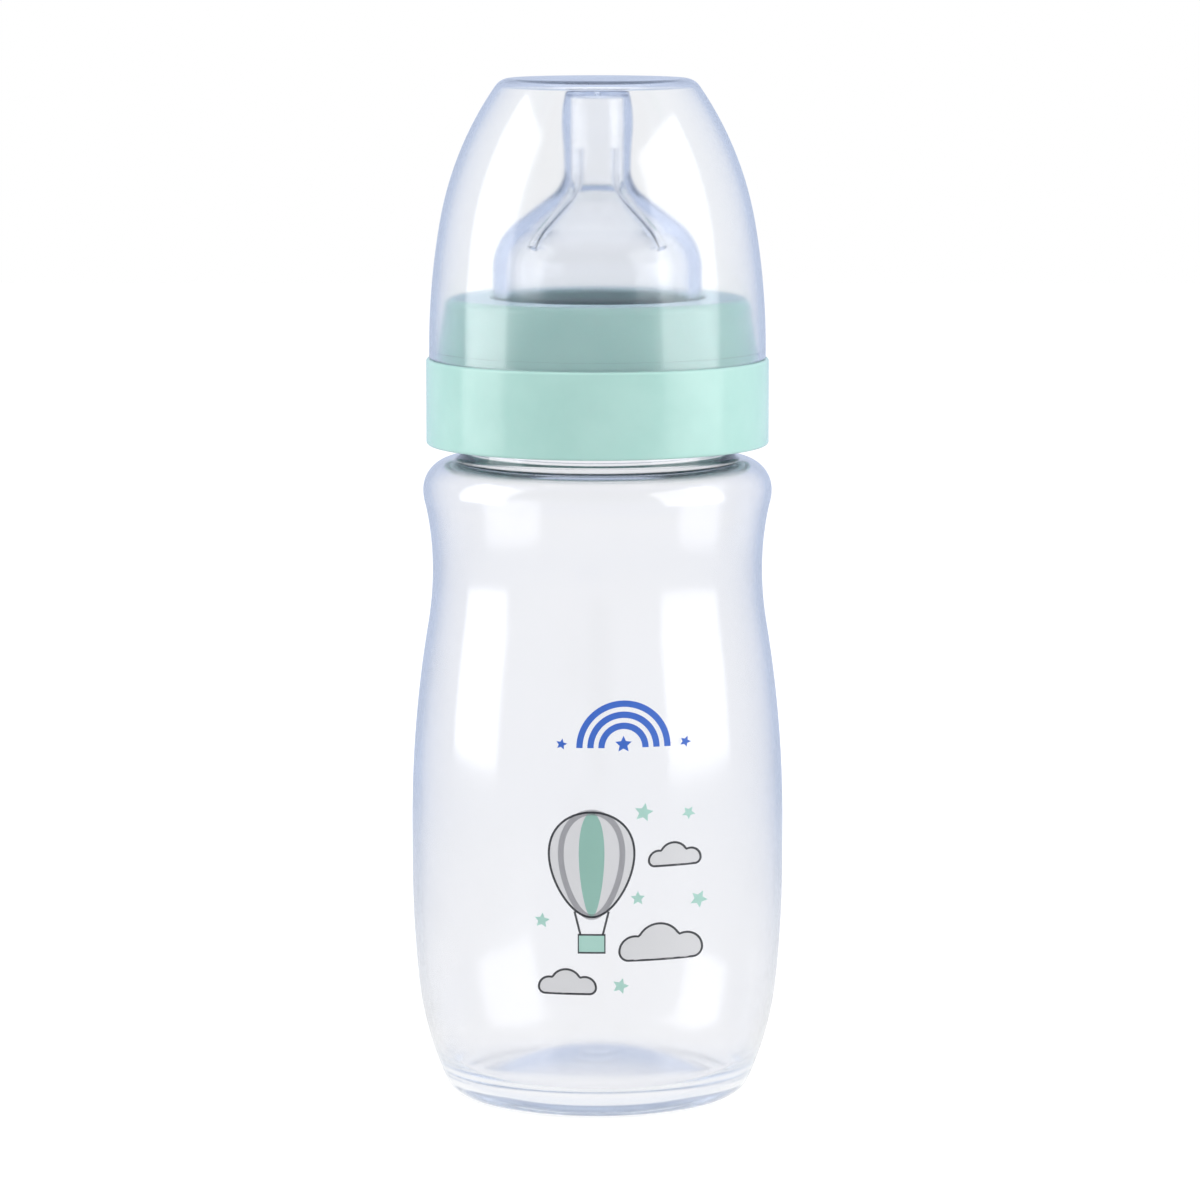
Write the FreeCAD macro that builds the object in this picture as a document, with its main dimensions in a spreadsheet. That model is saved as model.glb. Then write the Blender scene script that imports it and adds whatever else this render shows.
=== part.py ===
"""A wide-necked feeding bottle: blown body, silicone teat, screw ring and clear cap, standing on its foot ring."""
import FreeCAD, Part
import math
import os
import re
import Sketcher

# Driving sizes in millimetres, angles in degrees. Heights of the bottle count from the surface it stands on.
SIZES = {
    # Bottle, from the foot up
    "foot_width": 3.5,
    "foot_corner": 3.5,
    "pushup": 4.6,
    "floor_wall": 2.4,
    "floor_corner": 9.0,
    "heel_arc": 57.0,
    "heel_height": 20.0,
    "side_arc": 215.0,
    "belly_radius": 33.1,
    "belly_height": 41.5,
    "belly_band": 7.0,
    "wall": 1.1,
    "waist_radius": 29.25,
    "waist_height": 94.3,
    "waist_arc": 60.0,
    "crease_rise": 11.1,
    "crease_depth": 0.45,
    "bead_radius": 30.9,
    "bead_rise": 2.8,
    "neck_radius": 24.5,
    "neck_fillet": 0.9,
    "neck_wall": 2.0,
    "neck_height": 24.1,
    "lip_round": 0.6,
    # Screw thread of the neck and the ring
    "thread_pitch": 6.0,
    "thread_height": 1.7,
    "thread_root": 2.6,
    "thread_crest": 1.2,
    "thread_gap": 0.35,
    "thread_play": 0.3,
    "thread_lead": 0.6,
    "thread_runout": 1.8,
    "thread_sink": 0.5,
    # Screw ring
    "ring_gap": 2.6,
    "ring_plate": 2.0,
    "sleeve_wall": 1.9,
    "ledge_width": 1.85,
    "collar_height": 10.8,
    "collar_taper": 1.75,
    "collar_round": 1.6,
    "collar_gap": 0.4,
    "core_width": 1.1,
    "core_roof": 2.0,
    "skin_wall": 1.2,
    "ring_round": 0.5,
    # Teat
    "flange": 2.5,
    "flange_round": 0.5,
    "hole_gap": 0.5,
    "dome_radius": 18.4,
    "dome_straight": 6.9,
    "dome_arc": 10.15,
    "dome_wall": 2.2,
    "cone_angle": 37.5,
    "flare_arc": 3.0,
    "nipple_radius": 5.8,
    "nipple_wall": 1.1,
    "nipple_length": 15.65,
    "bulb_radius": 6.22,
    "bulb_arc": 22.0,
    "bulb_below_tip": 6.1,
    "tip_corner": 1.3,
    "tip_wall": 1.5,
    "feed_hole": 0.8,
    "rib_count": 4,
    "rib_width": 1.0,
    "rib_height": 0.9,
    "rib_sink": 0.6,
    "rib_rise": 5.0,
    "rib_tail": 3.6,
    # Cap
    "cap_fit": 0.05,
    "cap_rim_wall": 1.25,
    "cap_rim_height": 1.5,
    "cap_wall": 1.1,
    "cap_side_arc": 130.0,
    "cap_knee": 24.0,
    "cap_shoulder_arc": 60.0,
    "cap_corner": 3.2,
    "tip_clearance": 0.6,
}

# Levels and radii that follow from the driving sizes
CREASE_LEVEL = "(waist_height + crease_rise)"
BEAD_LEVEL = f"({CREASE_LEVEL} + bead_rise)"
NECK_FOOT = f"({BEAD_LEVEL} + bead_radius - neck_radius - neck_fillet)"
LIP = f"({NECK_FOOT} + neck_height)"
THREAD_CREST_RADIUS = "(neck_radius + thread_height)"
RING_BORE = f"({THREAD_CREST_RADIUS} + thread_gap)"
COLLAR_BASE = f"({RING_BORE} + sleeve_wall)"
BAND_RADIUS = f"({COLLAR_BASE} + ledge_width)"
RING_BOTTOM = f"({NECK_FOOT} + ring_gap)"
RING_HEIGHT = "(neck_height + flange + ring_plate - ring_gap)"
LEDGE = f"({RING_HEIGHT} - collar_height)"
THREAD_OFFSET = "(thread_root / 2 + thread_crest / 2 + thread_play)"
RING_THREAD_START = "(thread_lead + thread_root / 2)"
THREAD_TURNS = f"(({LEDGE} - thread_runout - thread_root / 2 - {RING_THREAD_START} - {THREAD_OFFSET}) / thread_pitch)"
DOME_LEVEL = "(flange + dome_straight)"
SLOPE = "(cone_angle * 1 deg)"
CONE_FOOT_X = f"(dome_radius - dome_arc * (1 - sin({SLOPE})))"
CONE_FOOT_Z = f"({DOME_LEVEL} + dome_arc * cos({SLOPE}))"
FLARE_X = f"(nipple_radius + flare_arc * (1 - sin({SLOPE})))"
FLARE_TOP = f"({CONE_FOOT_Z} + ({CONE_FOOT_X} - {FLARE_X}) * tan({SLOPE}) + flare_arc * cos({SLOPE}))"
TIP = f"({FLARE_TOP} + nipple_length)"
NIPPLE_BORE = "(nipple_radius - nipple_wall)"
CAP_RIM = f"({COLLAR_BASE} + cap_fit + cap_rim_wall)"
CAP_HEIGHT = f"({TIP} + {LIP} + tip_clearance + cap_wall - {RING_BOTTOM} - {LEDGE})"

ROOT = (-1, 1)

doc = FreeCAD.newDocument("FeedingBottle")
sheet = doc.addObject("Spreadsheet::Sheet", "Sizes")
for row, (alias, size) in enumerate(SIZES.items(), start=1):
    sheet.set(f"A{row}", alias)
    sheet.set(f"B{row}", str(size))
    sheet.setAlias(f"B{row}", alias)
doc.recompute()


def bound(words):
    """An expression whose plain words point at the sheet's cells."""
    return re.sub(r"[a-z_]+", lambda word: f"Sizes.{word[0]}" if word[0] in SIZES else word[0], words)


def number(words):
    """What such an expression measures now."""
    measure = sheet.evalExpression(bound(words))
    return float(getattr(measure, "Value", measure))


class Section:
    """A closed outline in the plane of the turning axis, drawn piece by piece and held by the sheet's sizes."""

    def __init__(self, body, name, turned=0):
        self.sketch = body.newObject("Sketcher::SketchObject", name)
        plane = [item for item in body.Origin.OriginFeatures if item.Role == "XZ_Plane"][0]
        self.sketch.AttachmentSupport = [(plane, "")]
        self.sketch.MapMode = "FlatFace"
        self.sketch.AttachmentOffset = FreeCAD.Placement(
            FreeCAD.Vector(), FreeCAD.Rotation(FreeCAD.Vector(0, 1, 0), turned))

    def line(self, first, last):
        """A straight piece; every piece is its index and the positions of its first and last points."""
        segment = Part.LineSegment(FreeCAD.Vector(*first, 0), FreeCAD.Vector(*last, 0))
        return {"index": self.sketch.addGeometry(segment), "first": 1, "last": 2, "centre": 3}

    def arc(self, first, last, centre):
        """A round piece of less than half a turn about its centre."""
        angle = [math.atan2(end[1] - centre[1], end[0] - centre[0]) for end in (first, last)]
        forward = math.sin(angle[1] - angle[0]) > 0
        circle = Part.Circle(FreeCAD.Vector(*centre, 0), FreeCAD.Vector(0, 0, 1), math.dist(first, centre))
        ends = angle if forward else angle[::-1]
        index = self.sketch.addGeometry(Part.ArcOfCircle(circle, ends[0], ends[1]))
        positions = (1, 2) if forward else (2, 1)
        return {"index": index, "first": positions[0], "last": positions[1], "centre": 3}

    def rule(self, kind, *places):
        return self.sketch.addConstraint(Sketcher.Constraint(kind, *places))

    def join(self, *pieces, smooth=True):
        """Each piece starts where the one before it ends, without a corner where the joint is smooth."""
        for before, after in zip(pieces, pieces[1:]):
            kind = "Tangent" if smooth else "Coincident"
            self.rule(kind, before["index"], before["last"], after["index"], after["first"])

    def size(self, words, kind, *places):
        """A dimension that follows an expression of the sheet."""
        measure = number(words)
        index = self.rule(kind, *places, math.radians(measure) if kind == "Angle" else measure)
        self.sketch.setExpression(f"Constraints[{index}]", bound(words))

    def hold(self, piece, end, x=None, z=None):
        """A point of a piece stays at a radius and at a height; an empty word puts it on that axis."""
        point = (piece["index"], piece[end])
        # In a sketch, geometry -2 is the upright axis and -1 the level one.
        for words, kind, axis in ((x, "DistanceX", -2), (z, "DistanceY", -1)):
            if words == "":
                self.rule("PointOnObject", *point, axis)
            elif words:
                self.size(words, kind, *ROOT, *point)

    def radius(self, piece, words):
        self.size(words, "Radius", piece["index"])

    def polygon(self, corners, closed=True, hold_ends=True):
        """Straight lines through corners given as radius, height and, where it is rounded, the round."""
        spots = [(number(x) if x else 0.0, number(z) if z else 0.0) for x, z, _ in corners]
        count = len(corners)
        sides = range(count if closed else count - 1)
        rounds = []
        for here, corner in enumerate(corners):
            rounds.append(round_cut(spots[here - 1], spots[here], spots[(here + 1) % count], corner[2]))
        lines = [self.line(rounds[side][1], rounds[(side + 1) % count][0]) for side in sides]
        for here, (x, z, rounding) in enumerate(corners):
            if not closed and here in (0, count - 1):
                if hold_ends:
                    self.hold(lines[here - 1 if here else 0], "last" if here else "first", x, z)
            elif rounding:
                before, after = lines[here - 1], lines[here]
                bend = self.arc(rounds[here][0], rounds[here][1], rounds[here][2])
                self.join(before, bend, after)
                self.radius(bend, rounding)
                mark = self.sketch.addGeometry(Part.Point(FreeCAD.Vector(*spots[here], 0)), True)
                self.hold({"index": mark, "point": 1}, "point", x, z)
                self.rule("PointOnObject", mark, 1, before["index"])
                self.rule("PointOnObject", mark, 1, after["index"])
            else:
                self.join(lines[here - 1], lines[here], smooth=False)
                self.hold(lines[here], "first", x, z)
        return lines

    def bend_chain(self, rim, knee, end_level, radii, upward):
        """Three round pieces, each tighter than the last, from an upright start to a level end."""
        way = 1 if upward else -1
        wide, middle, tight = [number(words) for words in radii]
        start = (number(rim[0]), number(rim[1]))
        lean = math.asin(abs(number(knee) - start[1]) / wide)
        wide_centre = (start[0] - wide, start[1])
        middle_centre = (wide_centre[0] + (wide - middle) * math.cos(lean),
                         wide_centre[1] + way * (wide - middle) * math.sin(lean))
        tight_level = number(end_level) - way * tight
        turn = math.asin(way * (tight_level - middle_centre[1]) / (middle - tight))
        tight_centre = (middle_centre[0] + (middle - tight) * math.cos(turn), tight_level)

        def on(centre, radius, angle):
            return (centre[0] + radius * math.cos(angle), centre[1] + way * radius * math.sin(angle))

        joints = [start, on(wide_centre, wide, lean), on(middle_centre, middle, turn),
                  on(tight_centre, tight, math.pi / 2)]
        centres = (wide_centre, middle_centre, tight_centre)
        pieces = [self.arc(first, last, centre) for first, last, centre in zip(joints, joints[1:], centres)]
        self.join(*pieces)
        for piece, words in zip(pieces, radii):
            self.radius(piece, words)
        self.hold(pieces[0], "first", *rim)
        self.hold(pieces[0], "centre", z=rim[1])
        self.hold(pieces[0], "last", z=knee)
        return pieces

    def s_bend(self, low, high, high_radius):
        """Two round pieces between upright ends: bulging at the wider end and hollow at the narrower one."""
        start = (number(low[0]), number(low[1]))
        end = (number(high[0]), number(high[1]))
        step = start[0] - end[0]
        both = (step ** 2 + (end[1] - start[1]) ** 2) / (2 * abs(step))
        side = math.copysign(1, step)
        above = number(high_radius)
        below = both - above
        low_centre = (start[0] - side * below, start[1])
        high_centre = (end[0] + side * above, end[1])
        share = below / both
        middle = tuple(a + (b - a) * share for a, b in zip(low_centre, high_centre))
        pieces = [self.arc(start, middle, low_centre), self.arc(middle, end, high_centre)]
        self.join(*pieces)
        self.radius(pieces[1], high_radius)
        self.hold(pieces[1], "last", *high)
        self.hold(pieces[1], "centre", z=high[1])
        return pieces

    def level_arc(self, first, last, x, z):
        """A round piece that is upright at its first point and ends at a given place."""
        step = last[0] - first[0]
        reach = (step ** 2 + (last[1] - first[1]) ** 2) / (2 * step)
        piece = self.arc(first, last, (first[0] + reach, first[1]))
        self.hold(piece, "last", x, z)
        return piece


def round_cut(before, corner, after, rounding):
    """Where a rounded corner leaves its two lines, and the centre of the round."""
    if not rounding:
        return corner, corner, None
    ways = []
    for other in (before, after):
        reach = math.dist(corner, other)
        ways.append(((other[0] - corner[0]) / reach, (other[1] - corner[1]) / reach))
    half = math.acos(ways[0][0] * ways[1][0] + ways[0][1] * ways[1][1]) / 2
    cut = number(rounding) / math.tan(half)
    ends = [(corner[0] + way[0] * cut, corner[1] + way[1] * cut) for way in ways]
    middle = [(a + b) / 2 for a, b in zip(*ways)]
    depth = number(rounding) / math.sin(half) / math.hypot(*middle)
    return ends[0], ends[1], (corner[0] + middle[0] * depth, corner[1] + middle[1] * depth)


def new_body(name, height=None):
    body = doc.addObject("PartDesign::Body", name)
    body.Label = name
    if height:
        body.setExpression("Placement.Base.z", bound(height))
    return body


def turn(body, section, kind, name):
    """A full turn of a section about the upright axis."""
    feature = body.newObject(f"PartDesign::{kind}", name)
    feature.Profile = section.sketch
    feature.ReferenceAxis = (section.sketch, ["V_Axis"])
    feature.Angle = 360
    section.sketch.Visibility = False
    doc.recompute()
    return feature


def add_thread(body, name, root_radius, crest_radius, start):
    """A screw ridge that climbs one pitch a turn; its root lies sunk in the wall that carries it."""
    outward = number(crest_radius) > number(root_radius)
    sink = f"({root_radius} {'-' if outward else '+'} thread_sink)"
    section = Section(body, f"{name}_section")
    section.polygon([
        (sink, f"{start} - thread_root / 2", None),
        (root_radius, f"{start} - thread_root / 2", None),
        (crest_radius, f"{start} - thread_crest / 2", None),
        (crest_radius, f"{start} + thread_crest / 2", None),
        (root_radius, f"{start} + thread_root / 2", None),
        (sink, f"{start} + thread_root / 2", None),
    ])
    ridge = body.newObject("PartDesign::AdditiveHelix", name)
    ridge.Profile = section.sketch
    ridge.ReferenceAxis = (section.sketch, ["V_Axis"])
    ridge.Mode = "pitch-turns-angle"
    ridge.setExpression("Pitch", bound("thread_pitch"))
    ridge.setExpression("Turns", bound(THREAD_TURNS))
    doc.recompute()


def wall_line(section, inset):
    """The bottle's side from the knee of its heel to its neck, on the outside or one wall further in."""
    belly = f"belly_radius - {inset}"
    waist = (f"waist_radius - {inset}", "waist_height")
    belly_top = "(belly_height + belly_band)"
    hollow = f"waist_arc + {inset}"
    band = section.line((number(belly), number("belly_height")), (number(belly), number(belly_top)))
    bends = section.s_bend((belly, belly_top), waist, hollow)
    section.join(band, bends[0])
    section.hold(band, "last", z=belly_top)
    crease = (f"bead_radius - crease_depth - {inset}", CREASE_LEVEL)
    crease_spot = (number(crease[0]), number(crease[1]))
    rise = section.level_arc((number(waist[0]), number(waist[1])), crease_spot, *crease)
    section.join(bends[1], rise)
    bead = (f"bead_radius - {inset}", BEAD_LEVEL)
    bead_spot = (number(bead[0]), number(bead[1]))
    step = bead_spot[0] - crease_spot[0]
    reach = (step ** 2 + (bead_spot[1] - crease_spot[1]) ** 2) / (2 * step)
    roll = section.arc(crease_spot, bead_spot, (bead_spot[0] - reach, bead_spot[1]))
    section.join(rise, roll, smooth=False)
    section.hold(roll, "last", *bead)
    section.hold(roll, "centre", z=bead[1])
    fillet_x = "neck_radius + neck_fillet"
    drop = bead_spot[0] - number(fillet_x)
    top = (number(fillet_x), bead_spot[1] + drop)
    shoulder = section.arc(bead_spot, top, (top[0], bead_spot[1]))
    section.join(roll, shoulder)
    section.hold(shoulder, "last", x=fillet_x)
    section.rule("Vertical", shoulder["index"], shoulder["centre"], shoulder["index"], shoulder["last"])
    return band, shoulder, top


def neck_line(section, shoulder, top, fillet, level):
    """The hollow fillet from the shoulder into the neck, and the neck's upright side up to a level."""
    reach = number(fillet)
    foot = (top[0] - reach, top[1] + reach)
    bend = section.arc(top, foot, (top[0], foot[1]))
    side = section.line(foot, (foot[0], number(level)))
    section.join(shoulder, bend, side)
    section.radius(bend, fillet)
    section.rule("Vertical", side["index"])
    return side, (foot[0], number(level))


def close_on_axis(section, lower, lower_end, upper, upper_end, heights):
    """The straight edge on the turning axis between two ends that already lie on it."""
    edge = section.line((0, heights[0]), (0, heights[1]))
    section.rule("Coincident", edge["index"], edge["first"], upper["index"], upper[upper_end])
    section.rule("Coincident", edge["index"], edge["last"], lower["index"], lower[lower_end])


def dome_arc(section, height, edge):
    """A floor that rises from its edge to the middle, round about the turning axis."""
    rise = number(height) - edge[1]
    reach = (edge[0] ** 2 + rise ** 2) / (2 * rise)
    piece = section.arc((0, number(height)), edge, (0, number(height) - reach))
    section.hold(piece, "first", x="", z=height)
    section.hold(piece, "centre", x="")
    return piece


def end_of(section, piece, end):
    point = section.sketch.getPoint(piece["index"], piece[end])
    return (point.x, point.y)


def make_bottle():
    """The blown body: a solid turned from its outside, hollowed by its inside, with a screw ridge on the neck."""
    body = new_body("bottle")
    outside = Section(body, "bottle_outside")
    belly = ("belly_radius", "belly_height")
    heel = outside.bend_chain(belly, "heel_height", "0", ("side_arc", "heel_arc", "foot_corner"), upward=False)
    foot_x, foot_z = end_of(outside, heel[-1], "last")
    foot = outside.line((foot_x, 0), (foot_x - number("foot_width"), 0))
    outside.join(heel[-1], foot)
    outside.hold(foot, "last", z="")
    outside.size("foot_width", "DistanceX", foot["index"], 2, foot["index"], 1)
    outside.rule("Horizontal", foot["index"])
    base = dome_arc(outside, "pushup", (foot_x - number("foot_width"), 0))
    outside.rule("Coincident", base["index"], base["last"], foot["index"], foot["last"])
    band, shoulder, top = wall_line(outside, "0")
    outside.rule("Tangent", heel[0]["index"], heel[0]["first"], band["index"], band["first"])
    neck, neck_top = neck_line(outside, shoulder, top, "neck_fillet", f"{LIP} - lip_round")
    lip_level = number(LIP)
    inner = (neck_top[0] - number("lip_round"), lip_level)
    lip = outside.arc(neck_top, inner, (inner[0], neck_top[1]))
    rim = outside.line(inner, (0, lip_level))
    outside.join(neck, lip, rim)
    outside.radius(lip, "lip_round")
    outside.rule("Horizontal", rim["index"])
    outside.hold(rim, "last", x="", z=LIP)
    close_on_axis(outside, base, "first", rim, "last", (lip_level, number("pushup")))
    turn(body, outside, "Revolution", "bottle_solid")

    inside = Section(body, "bottle_inside")
    belly_in = ("belly_radius - wall", "belly_height")
    radii = ("side_arc - wall", "heel_arc - wall", "floor_corner")
    heel = inside.bend_chain(belly_in, "heel_height", "floor_wall", radii, upward=False)
    inside.hold(heel[-1], "last", z="floor_wall")
    inside.rule("Vertical", heel[-1]["index"], heel[-1]["centre"], heel[-1]["index"], heel[-1]["last"])
    floor = dome_arc(inside, "pushup + floor_wall", end_of(inside, heel[-1], "last"))
    inside.rule("Coincident", floor["index"], floor["last"], heel[-1]["index"], heel[-1]["last"])
    band, shoulder, top = wall_line(inside, "wall")
    inside.rule("Tangent", heel[0]["index"], heel[0]["first"], band["index"], band["first"])
    bore, bore_top = neck_line(inside, shoulder, top, "neck_fillet + neck_wall", LIP)
    mouth = inside.line(bore_top, (0, bore_top[1]))
    inside.join(bore, mouth, smooth=False)
    inside.rule("Horizontal", mouth["index"])
    inside.hold(mouth, "last", x="", z=LIP)
    close_on_axis(inside, floor, "first", mouth, "last", (bore_top[1], number("pushup + floor_wall")))
    turn(body, inside, "Groove", "bottle_hollow")
    thread_start = f"({RING_BOTTOM} + {RING_THREAD_START} + {THREAD_OFFSET})"
    add_thread(body, "neck_thread", "neck_radius", THREAD_CREST_RADIUS, thread_start)
    return body


def make_screw_ring():
    """The mint ring: a cored band, a tapered collar for the cap, a plate that clamps the teat, and a screw ridge."""
    body = new_body("screw_ring", RING_BOTTOM)
    bore_top = "(neck_radius + collar_gap)"
    plate_under = f"({RING_HEIGHT} - ring_plate)"
    core_out = f"({BAND_RADIUS} - skin_wall)"
    core_in = f"({core_out} - core_width)"
    core_top = f"({LEDGE} - core_roof)"
    collar_top = f"({COLLAR_BASE} - collar_taper)"
    hole = "(dome_radius + hole_gap)"
    section = Section(body, "ring_section")
    section.polygon([
        (RING_BORE, "", None),
        (core_in, "", None),
        (core_in, core_top, None),
        (core_out, core_top, None),
        (core_out, "", None),
        (BAND_RADIUS, "", "ring_round"),
        (BAND_RADIUS, LEDGE, "ring_round"),
        (COLLAR_BASE, LEDGE, None),
        (collar_top, RING_HEIGHT, "collar_round"),
        (hole, RING_HEIGHT, "ring_round"),
        (hole, plate_under, None),
        (bore_top, plate_under, None),
        (bore_top, f"{LEDGE} + {RING_BORE} - {bore_top}", None),
        (RING_BORE, LEDGE, None),
    ])
    turn(body, section, "Revolution", "ring_solid")
    add_thread(body, "ring_thread", RING_BORE, "(neck_radius + thread_gap)", RING_THREAD_START)
    return body


def make_teat():
    """The silicone teat: a clamped flange, a hollow dome, a nipple with a feed hole, and inner ribs."""
    body = new_body("teat", LIP)
    section = Section(body, "teat_section")
    dome_bore = "(dome_radius - dome_wall)"
    dome_level = number(DOME_LEVEL)
    slope = math.radians(number("cone_angle"))
    normal = (math.sin(slope), math.cos(slope))
    flange = section.polygon([
        (dome_bore, DOME_LEVEL, None),
        (dome_bore, "", None),
        ("neck_radius", "", "flange_round"),
        ("neck_radius", "flange", "flange_round"),
        ("dome_radius", "flange", None),
        ("dome_radius", DOME_LEVEL, None),
    ], closed=False)
    centre = (number("dome_radius - dome_arc"), dome_level)
    walls = {}
    for side, inset, column, flare in (
            ("outer", "0", "nipple_radius", "flare_arc"),
            ("inner", "dome_wall", NIPPLE_BORE, "flare_arc + nipple_wall")):
        reach = number(f"dome_arc - {inset}")
        cone_foot = (centre[0] + reach * normal[0], centre[1] + reach * normal[1])
        flare_reach = number(flare)
        column_x = number(column)
        cone_end_x = column_x + flare_reach * (1 - normal[0])
        cone_end = (cone_end_x, cone_foot[1] + (cone_foot[0] - cone_end_x) * math.tan(slope))
        column_foot = (column_x, cone_end[1] + flare_reach * normal[1])
        dome = section.arc((centre[0] + reach, dome_level), cone_foot, centre)
        cone = section.line(cone_foot, cone_end)
        bend = section.arc(cone_end, column_foot, (column_x + flare_reach, column_foot[1]))
        section.join(dome, cone, bend)
        section.radius(dome, f"dome_arc - {inset}")
        section.radius(bend, flare)
        section.size("180 - cone_angle", "Angle", cone["index"])
        walls[side] = (dome, cone, bend, column_foot)
    outer_dome, _, outer_flare, outer_foot = walls["outer"]
    inner_dome, _, inner_flare, inner_foot = walls["inner"]
    section.join(flange[-1], outer_dome)
    section.rule("Tangent", flange[0]["index"], flange[0]["first"], inner_dome["index"], inner_dome["first"])

    tip = number(TIP)
    bulb = ("bulb_radius", f"{TIP} - bulb_below_tip")
    bends = section.s_bend(("nipple_radius", FLARE_TOP), bulb, "bulb_arc")
    section.join(outer_flare, bends[0])
    section.hold(bends[0], "first", x="nipple_radius")
    section.rule("Horizontal", bends[0]["index"], bends[0]["centre"], bends[0]["index"], bends[0]["first"])
    bulb_spot = (number(bulb[0]), number(bulb[1]))
    top_reach = number("bulb_arc")
    corner_reach = number("tip_corner")
    bulb_centre = (bulb_spot[0] - top_reach, bulb_spot[1])
    corner_level = tip - corner_reach
    rise = math.asin((corner_level - bulb_centre[1]) / (top_reach - corner_reach))
    corner_x = bulb_centre[0] + (top_reach - corner_reach) * math.cos(rise)
    crown_end = (bulb_centre[0] + top_reach * math.cos(rise), bulb_centre[1] + top_reach * math.sin(rise))
    crown = section.arc(bulb_spot, crown_end, bulb_centre)
    corner = section.arc(crown_end, (corner_x, tip), (corner_x, corner_level))
    hole_x = number("feed_hole / 2")
    face = section.line((corner_x, tip), (hole_x, tip))
    section.join(bends[1], crown, corner, face)
    section.radius(crown, "bulb_arc")
    section.radius(corner, "tip_corner")
    section.rule("Horizontal", face["index"])
    inner_tip = f"({TIP} - tip_wall)"
    roof_level = number(inner_tip)
    hole = section.line((hole_x, tip), (hole_x, roof_level))
    roof = section.line((hole_x, roof_level), (inner_foot[0], roof_level))
    column = section.line((inner_foot[0], roof_level), inner_foot)
    section.join(face, hole, roof, column, smooth=False)
    section.rule("Tangent", column["index"], column["last"], inner_flare["index"], inner_flare["last"])
    section.hold(hole, "first", "feed_hole / 2", TIP)
    section.rule("Vertical", hole["index"])
    section.hold(roof, "last", NIPPLE_BORE, inner_tip)
    section.rule("Horizontal", roof["index"])
    section.rule("Vertical", column["index"])
    turn(body, section, "Revolution", "teat_solid")
    add_ribs(body)
    return body


def add_ribs(body):
    """Ribs on the inside of the nipple's neck and the cone, which keep the teat from folding shut."""
    section = Section(body, "rib_section", turned=45)

    def cone_height(x, depth):
        return f"({CONE_FOOT_Z} + ({CONE_FOOT_X} - {x}) * tan({SLOPE}) - {depth} / cos({SLOPE}))"

    proud = "(dome_wall + rib_height)"
    sunk = "(dome_wall - rib_sink)"
    column_in = f"({NIPPLE_BORE} - rib_height)"
    column_out = f"({NIPPLE_BORE} + rib_sink)"
    top = f"({FLARE_TOP} + rib_rise)"
    tail_in = f"({CONE_FOOT_X} - {proud} * sin({SLOPE}) + rib_tail * cos({SLOPE}))"
    tail_out = f"({CONE_FOOT_X} - {sunk} * sin({SLOPE}) + rib_tail * cos({SLOPE}))"
    section.polygon([
        (column_in, top, None),
        (column_in, cone_height(column_in, proud), "flare_arc"),
        (tail_in, cone_height(tail_in, proud), None),
        (tail_out, cone_height(tail_out, sunk), None),
        (column_out, cone_height(column_out, sunk), None),
        (column_out, top, None),
    ])
    rib = body.newObject("PartDesign::Pad", "rib")
    rib.Profile = section.sketch
    rib.setExpression("Length", bound("rib_width"))
    rib.Midplane = True
    doc.recompute()
    ribs = body.newObject("PartDesign::PolarPattern", "ribs")
    ribs.Originals = [rib]
    axis = [item for item in body.Origin.OriginFeatures if item.Role == "Z_Axis"][0]
    ribs.Axis = (axis, [""])
    ribs.Angle = 360
    ribs.setExpression("Occurrences", bound("rib_count"))
    body.Tip = ribs
    doc.recompute()


def make_cap():
    """The clear dome: a rim that grips the ring's collar, a tall curved side and a flat top."""
    body = new_body("cap", f"{RING_BOTTOM} + {LEDGE}")
    section = Section(body, "cap_section")
    grip = f"({COLLAR_BASE} + cap_fit)"
    radii = ("cap_side_arc", "cap_shoulder_arc", "cap_corner")
    inner_radii = tuple(f"{words} - cap_wall" for words in radii)
    height = number(CAP_HEIGHT)
    outer = section.bend_chain((CAP_RIM, "cap_rim_height"), "cap_knee", CAP_HEIGHT, radii, upward=True)
    corner_x = end_of(section, outer[-1], "last")[0]
    crown = section.line((corner_x, height), (0, height))
    section.join(outer[-1], crown)
    section.rule("Horizontal", crown["index"])
    section.hold(crown, "last", x="", z=CAP_HEIGHT)
    inner_start = (f"{CAP_RIM} - cap_wall", "cap_rim_height")
    inner_top = f"({CAP_HEIGHT} - cap_wall)"
    inner = section.bend_chain(inner_start, "cap_knee", inner_top, inner_radii, upward=True)
    inner_x = end_of(section, inner[-1], "last")[0]
    ceiling = section.line((inner_x, number(inner_top)), (0, number(inner_top)))
    section.join(inner[-1], ceiling)
    section.rule("Horizontal", ceiling["index"])
    section.hold(ceiling, "last", x="", z=inner_top)
    close_on_axis(section, ceiling, "last", crown, "last", (height, number(inner_top)))
    rim = section.polygon([
        (inner_start[0], inner_start[1], None),
        (grip, "cap_rim_height", None),
        (grip, "", None),
        (CAP_RIM, "", None),
        (CAP_RIM, "cap_rim_height", None),
    ], closed=False, hold_ends=False)
    section.rule("Coincident", inner[0]["index"], inner[0]["first"], rim[0]["index"], rim[0]["first"])
    section.rule("Coincident", outer[0]["index"], outer[0]["first"], rim[-1]["index"], rim[-1]["last"])
    turn(body, section, "Revolution", "cap_solid")
    return body


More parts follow.
